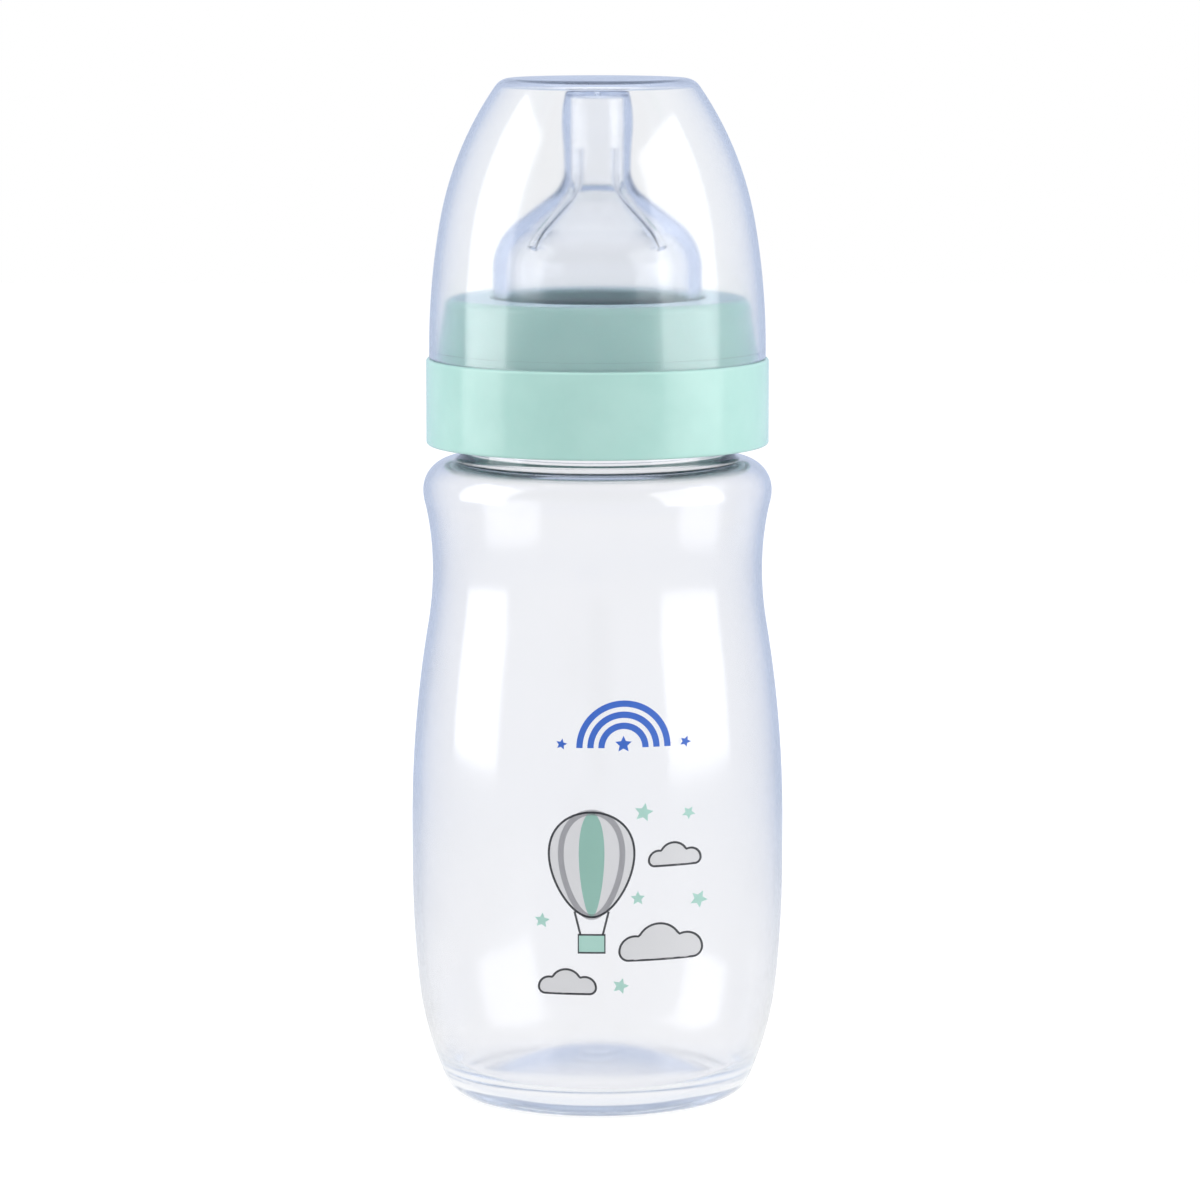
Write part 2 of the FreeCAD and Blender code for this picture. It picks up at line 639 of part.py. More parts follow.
bodies = [make_bottle(), make_teat(), make_screw_ring(), make_cap()]
doc.recompute()
failed = [item.Label for item in doc.Objects if "Invalid" in item.State or "Error" in item.State]
if failed:
    raise RuntimeError("These did not build: " + ", ".join(failed))
for body in bodies:
    if body.Shape.isNull() or not body.Shape.isValid() or len(body.Shape.Solids) != 1:
        raise RuntimeError(f"{body.Label} is not one sound solid")
os.makedirs("parts", exist_ok=True)
for body in bodies:
    body.Shape.exportStep(f"parts/{body.Label}.step")
    box = body.Shape.optimalBoundingBox(False)
    print(body.Label, "volume", round(body.Shape.Volume, 1), "from", round(box.ZMin, 2), "to", round(box.ZMax, 2),
          "across", round(box.XLength, 2))
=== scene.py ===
# %% [markdown]
# A feeding bottle, dressed for the studio
#
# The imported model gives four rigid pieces: a blown bottle, a silicone teat, a screw ring and a clear cap.
# Clear plastic shows every facet of a coarse mesh as a bent line, so this lesson turns each piece again
# as a smooth lathe shape of the same size, gives it a material, prints the front and lights the set.

# %% Load the frame
import math

import bmesh
import bpy
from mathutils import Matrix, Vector


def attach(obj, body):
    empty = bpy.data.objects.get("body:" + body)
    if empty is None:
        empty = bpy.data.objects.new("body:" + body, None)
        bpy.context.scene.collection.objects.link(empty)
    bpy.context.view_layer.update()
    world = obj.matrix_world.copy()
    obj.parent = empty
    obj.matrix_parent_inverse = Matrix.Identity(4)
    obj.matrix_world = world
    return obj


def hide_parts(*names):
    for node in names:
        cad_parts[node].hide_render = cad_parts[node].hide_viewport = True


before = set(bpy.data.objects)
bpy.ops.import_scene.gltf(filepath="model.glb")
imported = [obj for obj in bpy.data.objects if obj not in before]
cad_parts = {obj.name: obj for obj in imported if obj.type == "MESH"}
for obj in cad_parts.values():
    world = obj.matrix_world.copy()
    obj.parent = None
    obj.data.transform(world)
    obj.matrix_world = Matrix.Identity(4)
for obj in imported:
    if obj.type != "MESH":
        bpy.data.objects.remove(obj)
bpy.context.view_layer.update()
MM = 0.001

# %% [markdown]
# Outlines from lines and arcs
#
# A maker's drawing of a turned part is half an outline made of straight runs and arcs that meet without a
# kink. The same few rules draw all four pieces here: an arc about a centre, a chain of ever tighter arcs,
# an S of two arcs, and a polygon with rounded corners. Every outline is a list of (radius, height) points
# in millimetres.

# %% Arcs and straight runs
ARC_STEP = math.radians(4)
LONG_ARC_RUN = 2.0


def arc(centre, first, last):
    """Points of the arc from first to last about centre, the short way round, without its first point."""
    start = math.atan2(first[1] - centre[1], first[0] - centre[0])
    sweep = math.atan2(last[1] - centre[1], last[0] - centre[0]) - start
    sweep = (sweep + math.pi) % (2 * math.pi) - math.pi
    radius = math.dist(first, centre)
    count = max(2, math.ceil(abs(sweep) / ARC_STEP), math.ceil(abs(sweep) * radius / LONG_ARC_RUN))
    angles = [start + sweep * k / count for k in range(1, count + 1)]
    return [(centre[0] + radius * math.cos(a), centre[1] + radius * math.sin(a)) for a in angles]


def run(first, last):
    """Points of a straight run, without its first point."""
    count = max(1, math.ceil(math.dist(first, last) / LONG_ARC_RUN))
    return [tuple(a + (b - a) * k / count for a, b in zip(first, last)) for k in range(1, count + 1)]


print("a quarter arc of 10 mm has", len(arc((0, 0), (10, 0), (0, 10))), "points")

# %% Bends and corners
def bend_chain(start, knee, end_level, radii):
    """Three arcs, each tighter than the last, from an upright start to a level end above or below it."""
    wide, middle, tight = radii
    way = math.copysign(1, end_level - start[1])
    lean = math.asin(abs(knee - start[1]) / wide)
    wide_centre = (start[0] - wide, start[1])
    middle_centre = (wide_centre[0] + (wide - middle) * math.cos(lean),
                     wide_centre[1] + way * (wide - middle) * math.sin(lean))
    tight_level = end_level - way * tight
    turn = math.asin(way * (tight_level - middle_centre[1]) / (middle - tight))
    tight_centre = (middle_centre[0] + (middle - tight) * math.cos(turn), tight_level)
    spots = [start]
    for centre, radius, angle in ((wide_centre, wide, lean), (middle_centre, middle, turn),
                                  (tight_centre, tight, math.pi / 2)):
        spot = (centre[0] + radius * math.cos(angle), centre[1] + way * radius * math.sin(angle))
        spots += arc(centre, spots[-1], spot)
    return spots


def s_bend(low, high, high_radius):
    """Two arcs between upright ends, hollow at one and bulging at the other, without the first point."""
    step = low[0] - high[0]
    both = (step ** 2 + (high[1] - low[1]) ** 2) / (2 * abs(step))
    side = math.copysign(1, step)
    low_radius = both - high_radius
    low_centre = (low[0] - side * low_radius, low[1])
    high_centre = (high[0] + side * high_radius, high[1])
    middle = tuple(a + (b - a) * low_radius / both for a, b in zip(low_centre, high_centre))
    return arc(low_centre, low, middle) + arc(high_centre, middle, high)


def upright_arc(upright, other):
    """The arc that is upright at one point and passes through another; its points end at the other."""
    step = other[0] - upright[0]
    reach = (step ** 2 + (other[1] - upright[1]) ** 2) / (2 * step)
    return arc((upright[0] + reach, upright[1]), upright, other)


def rounded(corners):
    """A polygon through (radius, height, round) corners, open at its two ends."""
    spots = [corners[0][:2]]
    for before, corner, after in zip(corners, corners[1:], corners[2:]):
        ways = [tuple((o - c) / math.dist(other[:2], corner[:2]) for o, c in zip(other[:2], corner[:2]))
                for other in (before, after)]
        half = math.acos(sum(a * b for a, b in zip(*ways))) / 2
        if corner[2]:
            back = corner[2] / math.tan(half)
            ends = [tuple(c + w * back for c, w in zip(corner[:2], way)) for way in ways]
            middle = [(a + b) / 2 for a, b in zip(*ways)]
            depth = corner[2] / math.sin(half) / math.hypot(*middle)
            centre = (corner[0] + middle[0] * depth, corner[1] + middle[1] * depth)
            spots += run(spots[-1], ends[0]) + arc(centre, ends[0], ends[1])
        else:
            spots += run(spots[-1], corner[:2])
    return spots + run(spots[-1], corners[-1][:2])


SQUARE = [(0, 0, 0), (10, 0, 2), (10, 10, 2), (0, 10, 0)]
print("three sides of 10 mm with two rounds of 2 mm have", len(rounded(SQUARE)), "points")

# %% [markdown]
# A lathe in Geometry Nodes
#
# A lathe turns one outline about the upright axis, so a small node tree can make all four pieces. It lays
# a grid with one row for each outline point, looks up that point by the row's number and swings it round
# by the column. With a pitch it also lifts each column, and then it cuts a screw. Merging the seam and
# the poles closes the skin. The tree ends in Realize Instances and Set Material, and the result is then
# kept as a plain mesh.

# %% Node helpers
def add(tree, kind, settings=(), **links):
    """One node with its settings; each link names an input, by name or number, and what feeds it."""
    node = tree.nodes.new(kind)
    for name, setting in dict(settings).items():
        setattr(node, name, setting)
    for name, source in links.items():
        key = int(name[1:]) if name[0] == "i" and name[1:].isdigit() else name.replace("_", " ")
        if isinstance(source, bpy.types.NodeSocket):
            tree.links.new(source, node.inputs[key])
        else:
            node.inputs[key].default_value = source
    return node


def new_tree(name, inputs):
    """An empty geometry tree with a mesh in, a mesh out and named inputs."""
    tree = bpy.data.node_groups.new(name, "GeometryNodeTree")
    tree.interface.new_socket("Geometry", in_out="OUTPUT", socket_type="NodeSocketGeometry")
    tree.interface.new_socket("Geometry", in_out="INPUT", socket_type="NodeSocketGeometry")
    for label, kind in inputs:
        tree.interface.new_socket(label, in_out="INPUT", socket_type=f"NodeSocket{kind}")
    return tree, tree.nodes.new("NodeGroupInput").outputs


def end_tree(tree, geometry, material):
    """Realize Instances, Set Material and the output."""
    whole = add(tree, "GeometryNodeRealizeInstances", Geometry=geometry)
    painted = add(tree, "GeometryNodeSetMaterial", Geometry=whole.outputs[0], Material=material)
    tree.links.new(painted.outputs[0], tree.nodes.new("NodeGroupOutput").inputs[0])


print("node helpers", [helper.__name__ for helper in (add, new_tree, end_tree)])

# %% The lathe tree
MERGE_REACH = 0.002 * MM


def lathe_tree():
    """Turns the points of an outline about the upright axis, and climbs by the pitch in each turn."""
    tree, given = new_tree("turned_section", [("Steps", "Int"), ("Turns", "Float"), ("Pitch", "Float"),
                                              ("Material", "Material")])
    count = add(tree, "GeometryNodeAttributeDomainSize", Geometry=given["Geometry"])
    columns = add(tree, "ShaderNodeMath", {"operation": "ADD"}, i0=given["Steps"], i1=1.0)
    grid = add(tree, "GeometryNodeMeshGrid", Vertices_X=count.outputs["Point Count"],
               Vertices_Y=columns.outputs[0])
    index = add(tree, "GeometryNodeInputIndex")
    share = add(tree, "ShaderNodeMath", {"operation": "DIVIDE"}, i0=index.outputs[0], i1=columns.outputs[0])
    row = add(tree, "ShaderNodeMath", {"operation": "FLOOR"}, i0=share.outputs[0])
    column = add(tree, "ShaderNodeMath", {"operation": "MODULO"}, i0=index.outputs[0],
                 i1=columns.outputs[0])
    part = add(tree, "ShaderNodeMath", {"operation": "DIVIDE"}, i0=column.outputs[0], i1=given["Steps"])
    turn = add(tree, "ShaderNodeMath", {"operation": "MULTIPLY"}, i0=part.outputs[0], i1=given["Turns"])
    angle = add(tree, "ShaderNodeMath", {"operation": "MULTIPLY"}, i0=turn.outputs[0], i1=2 * math.pi)
    place = add(tree, "GeometryNodeInputPosition")
    spot = add(tree, "GeometryNodeSampleIndex", {"data_type": "FLOAT_VECTOR"}, Geometry=given["Geometry"],
               Value=place.outputs[0], Index=row.outputs[0])
    swung = add(tree, "ShaderNodeVectorRotate", {"rotation_type": "Z_AXIS"}, Vector=spot.outputs[0],
                Angle=angle.outputs[0])
    rise = add(tree, "ShaderNodeMath", {"operation": "MULTIPLY"}, i0=turn.outputs[0], i1=given["Pitch"])
    lift = add(tree, "ShaderNodeCombineXYZ", Z=rise.outputs[0])
    placed = add(tree, "GeometryNodeSetPosition", Geometry=grid.outputs["Mesh"], Position=swung.outputs[0],
                 Offset=lift.outputs[0])
    closed = add(tree, "GeometryNodeMergeByDistance", Geometry=placed.outputs[0], Distance=MERGE_REACH)
    end_tree(tree, closed.outputs[0], given["Material"])
    return tree


LATHE = lathe_tree()
print("lathe tree nodes", len(LATHE.nodes))

# %% From a tree to a plain mesh
TURN_STEPS = 168
SHARP_FROM = math.radians(35)


def plain_mesh(name, base, tree, settings):
    """Runs a tree on a base mesh or curve and keeps the result as a plain mesh object at the origin."""
    source = bpy.data.objects.new(f"{name}_source", base)
    bpy.context.scene.collection.objects.link(source)
    modifier = source.modifiers.new("shape", "NODES")
    modifier.node_group = tree
    sockets = {item.name: item.identifier for item in tree.interface.items_tree if item.in_out == "INPUT"}
    for label, setting in settings.items():
        modifier[sockets[label]] = setting
    shown = source.evaluated_get(bpy.context.evaluated_depsgraph_get())
    mesh = bpy.data.meshes.new_from_object(shown)
    bpy.data.objects.remove(source)
    mesh.name = name
    piece = bpy.data.objects.new(name, mesh)
    bpy.context.scene.collection.objects.link(piece)
    return piece


def finish_mesh(piece, close=False):
    """Faces outwards, smooth where the shape is smooth and crisp at its edges; open ends close if asked."""
    work = bmesh.new()
    work.from_mesh(piece.data)
    if close:
        bmesh.ops.holes_fill(work, edges=work.edges)
    bmesh.ops.recalc_face_normals(work, faces=work.faces)
    work.to_mesh(piece.data)
    work.free()
    piece.data.shade_smooth()
    piece.data.set_sharp_from_angle(angle=SHARP_FROM)


def turned(name, outline, material, turns=1.0, pitch=0.0):
    """A closed lathe piece from its outline in millimetres; with a pitch it climbs as it turns."""
    mesh = bpy.data.meshes.new(name)
    mesh.from_pydata([(r * MM, 0, z * MM) for r, z in outline], [], [])
    piece = plain_mesh(name, mesh, LATHE, {"Steps": round(TURN_STEPS * turns), "Turns": turns,
                                           "Pitch": pitch * MM, "Material": material})
    finish_mesh(piece, close=True)
    print(name, "faces", len(piece.data.polygons))
    return piece


print("a full turn has", TURN_STEPS, "steps")

# %% [markdown]
# Materials, from what each piece is made of
#
# Colours are written as sRGB hex, as a paint chart gives them, and one function turns them to linear.
# Clear plastic gets its tint from absorption inside the wall, so thin walls look white and the long way
# through an edge looks blue, as on the real thing.

# %% Colour and material helpers
GRAIN_DETAIL = 2.0
NOISE_RANGE = (0.3, 0.7)
FLOW_HEIGHT, FLOW_STRENGTH = 0.02, 0.25


def linear(hex_colour):
    """sRGB hex to linear red, green, blue and alpha."""
    parts = [int(hex_colour[k:k + 2], 16) / 255 for k in (1, 3, 5)]
    return [p / 12.92 if p <= 0.04045 else ((p + 0.055) / 1.055) ** 2.4 for p in parts] + [1.0]


def new_material(name):
    """A material with its node tree and its main shader."""
    material = bpy.data.materials.new(name)
    material.use_nodes = True
    tree = material.node_tree
    return material, tree, tree.nodes["Principled BSDF"]


def moulded_skin(tree, shader, gloss, waves):
    """Grains of (size, low, high) vary the gloss, and waves of (size, detail, height, strength) ripple it.

    Sizes and heights are in millimetres on the piece. The waves' noise comes back for other uses.
    """
    where = add(tree, "ShaderNodeTexCoord")
    size, low, high = gloss
    grain = add(tree, "ShaderNodeTexNoise", Vector=where.outputs["Object"], Scale=1 / (size * MM),
                Detail=GRAIN_DETAIL)
    rough = add(tree, "ShaderNodeMapRange", Value=grain.outputs[0], From_Min=NOISE_RANGE[0],
                From_Max=NOISE_RANGE[1], To_Min=low, To_Max=high)
    tree.links.new(rough.outputs[0], shader.inputs["Roughness"])
    size, detail, height, strength = waves
    wave = add(tree, "ShaderNodeTexNoise", Vector=where.outputs["Object"], Scale=1 / (size * MM),
               Detail=detail)
    bump = add(tree, "ShaderNodeBump", Height=wave.outputs[0], Distance=height * MM, Strength=strength)
    tree.links.new(bump.outputs[0], shader.inputs["Normal"])
    return wave


def clear_plastic(name, skin, ior, roughness, tint, density, flow_mm):
    """A clear moulding: refracting skin, faint flow ripples, and a tint that grows with the way through."""
    material, tree, shader = new_material(name)
    shader.inputs["Base Color"].default_value = linear(skin)
    shader.inputs["IOR"].default_value = ior
    shader.inputs["Transmission Weight"].default_value = 1.0
    moulded_skin(tree, shader, gloss=(flow_mm, *roughness),
                 waves=(flow_mm, GRAIN_DETAIL, FLOW_HEIGHT, FLOW_STRENGTH))
    inside = add(tree, "ShaderNodeVolumeAbsorption", Color=linear(tint), Density=density)
    tree.links.new(inside.outputs[0], tree.nodes["Material Output"].inputs["Volume"])
    return material


print("mid grey #808080 is", round(linear("#808080")[0], 3), "in linear light")

# %% [markdown]
# The clear materials
#
# Clarified polypropylene is blown for the body and moulded for the cap: smooth, IOR about 1.49, a whisper
# of blue at its edges. Silicone has an IOR of about 1.41, and its thick wall takes on more of the blue.

# %% Clear polypropylene and silicone
PP_IOR, SILICONE_IOR = 1.49, 1.41
BOTTLE_PP = clear_plastic("clarified_polypropylene_blown", skin="#fbfbfc", ior=PP_IOR,
                          roughness=(0.09, 0.13), tint="#3fa8ea", density=5.0, flow_mm=14.0)
CAP_PP = clear_plastic("clarified_polypropylene_moulded", skin="#fefefe", ior=PP_IOR,
                       roughness=(0.08, 0.12), tint="#5a90c8", density=14.0, flow_mm=18.0)
SILICONE = clear_plastic("clear_silicone_moulded", skin="#fefefe", ior=SILICONE_IOR,
                         roughness=(0.05, 0.1), tint="#5f92cc", density=26.0, flow_mm=6.0)
print("clear materials", BOTTLE_PP.name, CAP_PP.name, SILICONE.name)

# %% [markdown]
# The mint ring
#
# The ring is polypropylene too, coloured in the mass: glossy from a polished mould, with a little light
# going in and coming out again, so its shade stays soft. Fine colour drift and flow marks keep it from
# looking painted.

# %% Mint polypropylene
MINT_SHADES = ("#b3ded5", "#bbe4db")
MINT_GLOSS, MINT_WAVES = (0.5, 0.16, 0.2), (9.0, 4.0, 0.01, 0.15)
GLOW_WEIGHT, GLOW_REACH, GLOW_SHARES = 0.25, 1.2, (1.0, 1.4, 1.3)


def mint_plastic():
    """Coloured polypropylene: glossy, softly lit from within, with a slow drift of shade and flow marks."""
    material, tree, shader = new_material("mint_polypropylene_moulded")
    drift = moulded_skin(tree, shader, MINT_GLOSS, MINT_WAVES)
    share = add(tree, "ShaderNodeMapRange", Value=drift.outputs[0], From_Min=NOISE_RANGE[0],
                From_Max=NOISE_RANGE[1])
    mix = add(tree, "ShaderNodeMix", {"data_type": "RGBA"}, Factor=share.outputs[0])
    mix.inputs["A"].default_value = linear(MINT_SHADES[0])
    mix.inputs["B"].default_value = linear(MINT_SHADES[1])
    tree.links.new(mix.outputs["Result"], shader.inputs["Base Color"])
    shader.inputs["IOR"].default_value = PP_IOR
    shader.inputs["Subsurface Weight"].default_value = GLOW_WEIGHT
    shader.inputs["Subsurface Radius"].default_value = GLOW_SHARES
    shader.inputs["Subsurface Scale"].default_value = GLOW_REACH * MM
    return material


MINT_PP = mint_plastic()
print("coloured material", MINT_PP.name)

# %% [markdown]
# The bottle
#
# The body is blown into a mould: a foot ring round a pushed-up floor, a wide belly, a waist for the hand,
# a bead above a crease at the shoulder, and a thicker neck. Outside and inside are one outline, so the
# wall is closed and light bends at both of its skins.

# %% Bottle outline
BELLY_RADIUS, BELLY_HEIGHT, BELLY_BAND = 33.1, 41.5, 7.0
HEEL_HEIGHT, SIDE_ARC, HEEL_ARC, FOOT_CORNER, FOOT_WIDTH = 20.0, 215.0, 57.0, 3.5, 3.5
PUSHUP, FLOOR_WALL, FLOOR_CORNER = 4.6, 2.4, 9.0
WAIST_RADIUS, WAIST_HEIGHT, WAIST_ARC = 29.25, 94.3, 60.0
CREASE_HEIGHT, CREASE_DEPTH = 105.4, 0.45
BEAD_RADIUS, BEAD_HEIGHT = 30.9, 108.2
NECK_RADIUS, NECK_FILLET, NECK_WALL, NECK_HEIGHT, LIP_ROUND = 24.5, 0.9, 2.0, 24.1, 0.6
WALL = 1.1
NECK_FOOT = BEAD_HEIGHT + BEAD_RADIUS - NECK_RADIUS - NECK_FILLET
LIP = NECK_FOOT + NECK_HEIGHT
MARK_RADIUS, MARK_WIDTH, MARK_RISE, MARK_STEP = 3.8, 0.9, 0.06, 0.2


def dome(edge, height):
    """A floor rising from its edge to the axis."""
    rise = height - edge[1]
    reach = (edge[0] ** 2 + rise ** 2) / (2 * rise)
    return arc((0, height - reach), edge, (0, height))


def marked_dome(edge, height):
    """The inner floor, with the low round bead that the mould's centre pin leaves on it."""
    rise = height - edge[1]
    reach = (edge[0] ** 2 + rise ** 2) / (2 * rise)
    count = math.ceil(2 * MARK_RADIUS / MARK_STEP)
    radii = [2 * MARK_RADIUS * (1 - k / count) for k in range(count + 1)]
    level = [height - reach + math.sqrt(reach ** 2 - r ** 2) for r in radii]
    bead = [MARK_RISE * math.exp(-((r - MARK_RADIUS) / MARK_WIDTH) ** 2) for r in radii]
    middle = [(r, z + lift) for r, z, lift in zip(radii, level, bead)]
    return arc((0, height - reach), edge, middle[0]) + middle[1:]


def bottle_side(inset, fillet):
    """One skin of the bottle from its belly up to the foot of its neck."""
    belly = (BELLY_RADIUS - inset, BELLY_HEIGHT)
    belly_top = (belly[0], BELLY_HEIGHT + BELLY_BAND)
    waist = (WAIST_RADIUS - inset, WAIST_HEIGHT)
    crease = (BEAD_RADIUS - CREASE_DEPTH - inset, CREASE_HEIGHT)
    bead = (BEAD_RADIUS - inset, BEAD_HEIGHT)
    top_x = NECK_RADIUS + NECK_FILLET
    shoulder = (top_x, bead[1] + bead[0] - top_x)
    spots = [belly] + run(belly, belly_top) + s_bend(belly_top, waist, WAIST_ARC + inset)
    spots += upright_arc(waist, crease)
    spots += ([crease] + upright_arc(bead, crease)[::-1])[2:] + [bead]
    spots += arc((top_x, bead[1]), bead, shoulder)
    return spots + arc((top_x, shoulder[1] + fillet), shoulder, (top_x - fillet, shoulder[1] + fillet))


def bottle_outline():
    """Both skins of the bottle, from the axis under its floor, round the lip and back to the axis."""
    heel = bend_chain((BELLY_RADIUS, BELLY_HEIGHT), HEEL_HEIGHT, 0, (SIDE_ARC, HEEL_ARC, FOOT_CORNER))
    foot = (heel[-1][0] - FOOT_WIDTH, 0)
    outside = dome(foot, PUSHUP)[::-1] + [foot] + heel[::-1][:-1] + bottle_side(0, NECK_FILLET)
    lip_start = (NECK_RADIUS, LIP - LIP_ROUND)
    lip_end = (NECK_RADIUS - LIP_ROUND, LIP)
    bore = NECK_RADIUS - NECK_WALL
    lip = run(outside[-1], lip_start) + arc((lip_end[0], lip_start[1]), lip_start, lip_end)
    lip += run(lip_end, (bore + LIP_ROUND, LIP))
    lip += arc((bore + LIP_ROUND, LIP - LIP_ROUND), (bore + LIP_ROUND, LIP), (bore, LIP - LIP_ROUND))
    inner_side = bottle_side(WALL, NECK_FILLET + NECK_WALL)[::-1]
    radii = (SIDE_ARC - WALL, HEEL_ARC - WALL, FLOOR_CORNER)
    inner_heel = bend_chain((BELLY_RADIUS - WALL, BELLY_HEIGHT), HEEL_HEIGHT, FLOOR_WALL, radii)
    inside = run(lip[-1], inner_side[0]) + inner_side[1:] + inner_heel[1:]
    return outside + lip + inside + marked_dome(inner_heel[-1], PUSHUP + FLOOR_WALL)


bottle = turned("bottle_body", bottle_outline(), BOTTLE_PP)

# %% [markdown]
# The screw ridges
#
# A right-handed ridge climbs the neck and its partner climbs inside the ring. In the mould each is a
# groove cut by a tool that climbs while it goes round, so the lathe tree cuts them too: it is given a
# trapezoid, a number of turns and a pitch. A ridge sinks a little into the wall that carries it.

# %% Screw ridges
PITCH, RIDGE_HEIGHT, RIDGE_ROOT, RIDGE_CREST = 6.0, 1.7, 2.6, 1.2
RIDGE_GAP, RIDGE_PLAY, RIDGE_LEAD, RIDGE_RUNOUT, RIDGE_SINK = 0.35, 0.3, 0.6, 1.8, 0.15
RING_GAP, RING_PLATE, FLANGE, COLLAR_HEIGHT = 2.6, 2.0, 2.5, 10.8
RING_BOTTOM = NECK_FOOT + RING_GAP
RING_HEIGHT = NECK_HEIGHT + FLANGE + RING_PLATE - RING_GAP
LEDGE = RING_HEIGHT - COLLAR_HEIGHT
RING_RIDGE_START = RIDGE_LEAD + RIDGE_ROOT / 2
NECK_RIDGE_START = RING_RIDGE_START + RIDGE_ROOT / 2 + RIDGE_CREST / 2 + RIDGE_PLAY
RIDGE_TURNS = (LEDGE - RIDGE_RUNOUT - RIDGE_ROOT / 2 - NECK_RIDGE_START) / PITCH
RING_BORE = NECK_RADIUS + RIDGE_HEIGHT + RIDGE_GAP


def ridge(name, root, crest, start, material):
    """One screw ridge between its root and crest radii, with its first turn starting at a height."""
    sunk = root - math.copysign(RIDGE_SINK, crest - root)
    section = [(sunk, -RIDGE_ROOT / 2), (crest, -RIDGE_CREST / 2), (crest, RIDGE_CREST / 2),
               (sunk, RIDGE_ROOT / 2)]
    outline = [(r, start + z) for r, z in section + section[:1]]
    return turned(name, outline, material, RIDGE_TURNS, PITCH)


NECK_CREST = NECK_RADIUS + RIDGE_HEIGHT
RING_CREST = NECK_RADIUS + RIDGE_GAP
neck_thread = ridge("neck_thread", NECK_RADIUS, NECK_CREST, RING_BOTTOM + NECK_RIDGE_START, BOTTLE_PP)
ring_thread = ridge("ring_thread", RING_BORE, RING_CREST, RING_BOTTOM + RING_RIDGE_START, MINT_PP)
print("ridge turns", round(RIDGE_TURNS, 2))

# %% [markdown]
# The screw ring
#
# A cored band to grip, a ledge for the cap to sit on, a tapered collar for the cap to hold, and a plate
# with a hole that clamps the teat. Small rounds on every edge catch the light.

# %% Ring outline
SLEEVE_WALL, LEDGE_WIDTH, COLLAR_TAPER, COLLAR_ROUND, COLLAR_GAP = 1.9, 1.85, 1.75, 1.6, 0.4
CORE_WIDTH, CORE_ROOF, SKIN_WALL, RING_ROUND = 1.1, 2.0, 1.2, 0.5
DOME_RADIUS, HOLE_GAP = 18.4, 0.5
COLLAR_BASE = RING_BORE + SLEEVE_WALL
BAND_RADIUS = COLLAR_BASE + LEDGE_WIDTH
EDGE_ROUND = 0.25


def ring_outline():
    """The ring's section, from the middle of its bore round the foot, the collar and the plate."""
    bore_top = NECK_RADIUS + COLLAR_GAP
    core_out = BAND_RADIUS - SKIN_WALL
    core_in = core_out - CORE_WIDTH
    hole = DOME_RADIUS + HOLE_GAP
    plate_under = RING_HEIGHT - RING_PLATE
    corners = [
        (RING_BORE, LEDGE / 2, 0),
        (RING_BORE, 0, EDGE_ROUND),
        (core_in, 0, EDGE_ROUND),
        (core_in, LEDGE - CORE_ROOF, 0),
        (core_out, LEDGE - CORE_ROOF, 0),
        (core_out, 0, EDGE_ROUND),
        (BAND_RADIUS, 0, RING_ROUND),
        (BAND_RADIUS, LEDGE, RING_ROUND),
        (COLLAR_BASE, LEDGE, EDGE_ROUND),
        (COLLAR_BASE - COLLAR_TAPER, RING_HEIGHT, COLLAR_ROUND),
        (hole, RING_HEIGHT, RING_ROUND),
        (hole, plate_under, EDGE_ROUND),
        (bore_top, plate_under, EDGE_ROUND),
        (bore_top, LEDGE + RING_BORE - bore_top, EDGE_ROUND),
        (RING_BORE, LEDGE, EDGE_ROUND),
        (RING_BORE, LEDGE / 2, 0),
    ]
    return [(r, RING_BOTTOM + z) for r, z in rounded(corners)]


ring = turned("screw_ring_body", ring_outline(), MINT_PP)

# %% [markdown]
# The teat
#
# A flange that the ring clamps, a round dome, a slanted cone, and a nipple that swells towards its tip,
# with a feed hole through the end. The wall is thick below and thin above, as moulded teats are.

# %% Teat outline
FLANGE_ROUND, DOME_STRAIGHT, DOME_ARC, DOME_WALL, CONE_ANGLE, FLARE_ARC = 0.5, 6.9, 10.15, 2.2, 37.5, 6.0
NIPPLE_RADIUS, NIPPLE_WALL, NIPPLE_LENGTH = 5.8, 1.1, 14.17
BULB_RADIUS, BULB_ARC, BULB_BELOW_TIP = 6.22, 22.0, 6.1
TIP_CORNER, TIP_WALL, FEED_HOLE, HOLE_ROUND = 1.3, 1.5, 0.8, 0.15
DOME_LEVEL = FLANGE + DOME_STRAIGHT
SLOPE = math.radians(CONE_ANGLE)


def teat_wall(inset, column, flare):
    """One skin of the teat from the top of its straight stub to the foot of the nipple."""
    centre = (DOME_RADIUS - DOME_ARC, DOME_LEVEL)
    reach = DOME_ARC - inset
    stub = (centre[0] + reach, DOME_LEVEL)
    cone_foot = (centre[0] + reach * math.sin(SLOPE), centre[1] + reach * math.cos(SLOPE))
    end_x = column + flare * (1 - math.sin(SLOPE))
    cone_end = (end_x, cone_foot[1] + (cone_foot[0] - end_x) * math.tan(SLOPE))
    column_foot = (column, cone_end[1] + flare * math.cos(SLOPE))
    spots = [stub] + arc(centre, stub, cone_foot) + run(cone_foot, cone_end)
    return spots + arc((column + flare, column_foot[1]), cone_end, column_foot)


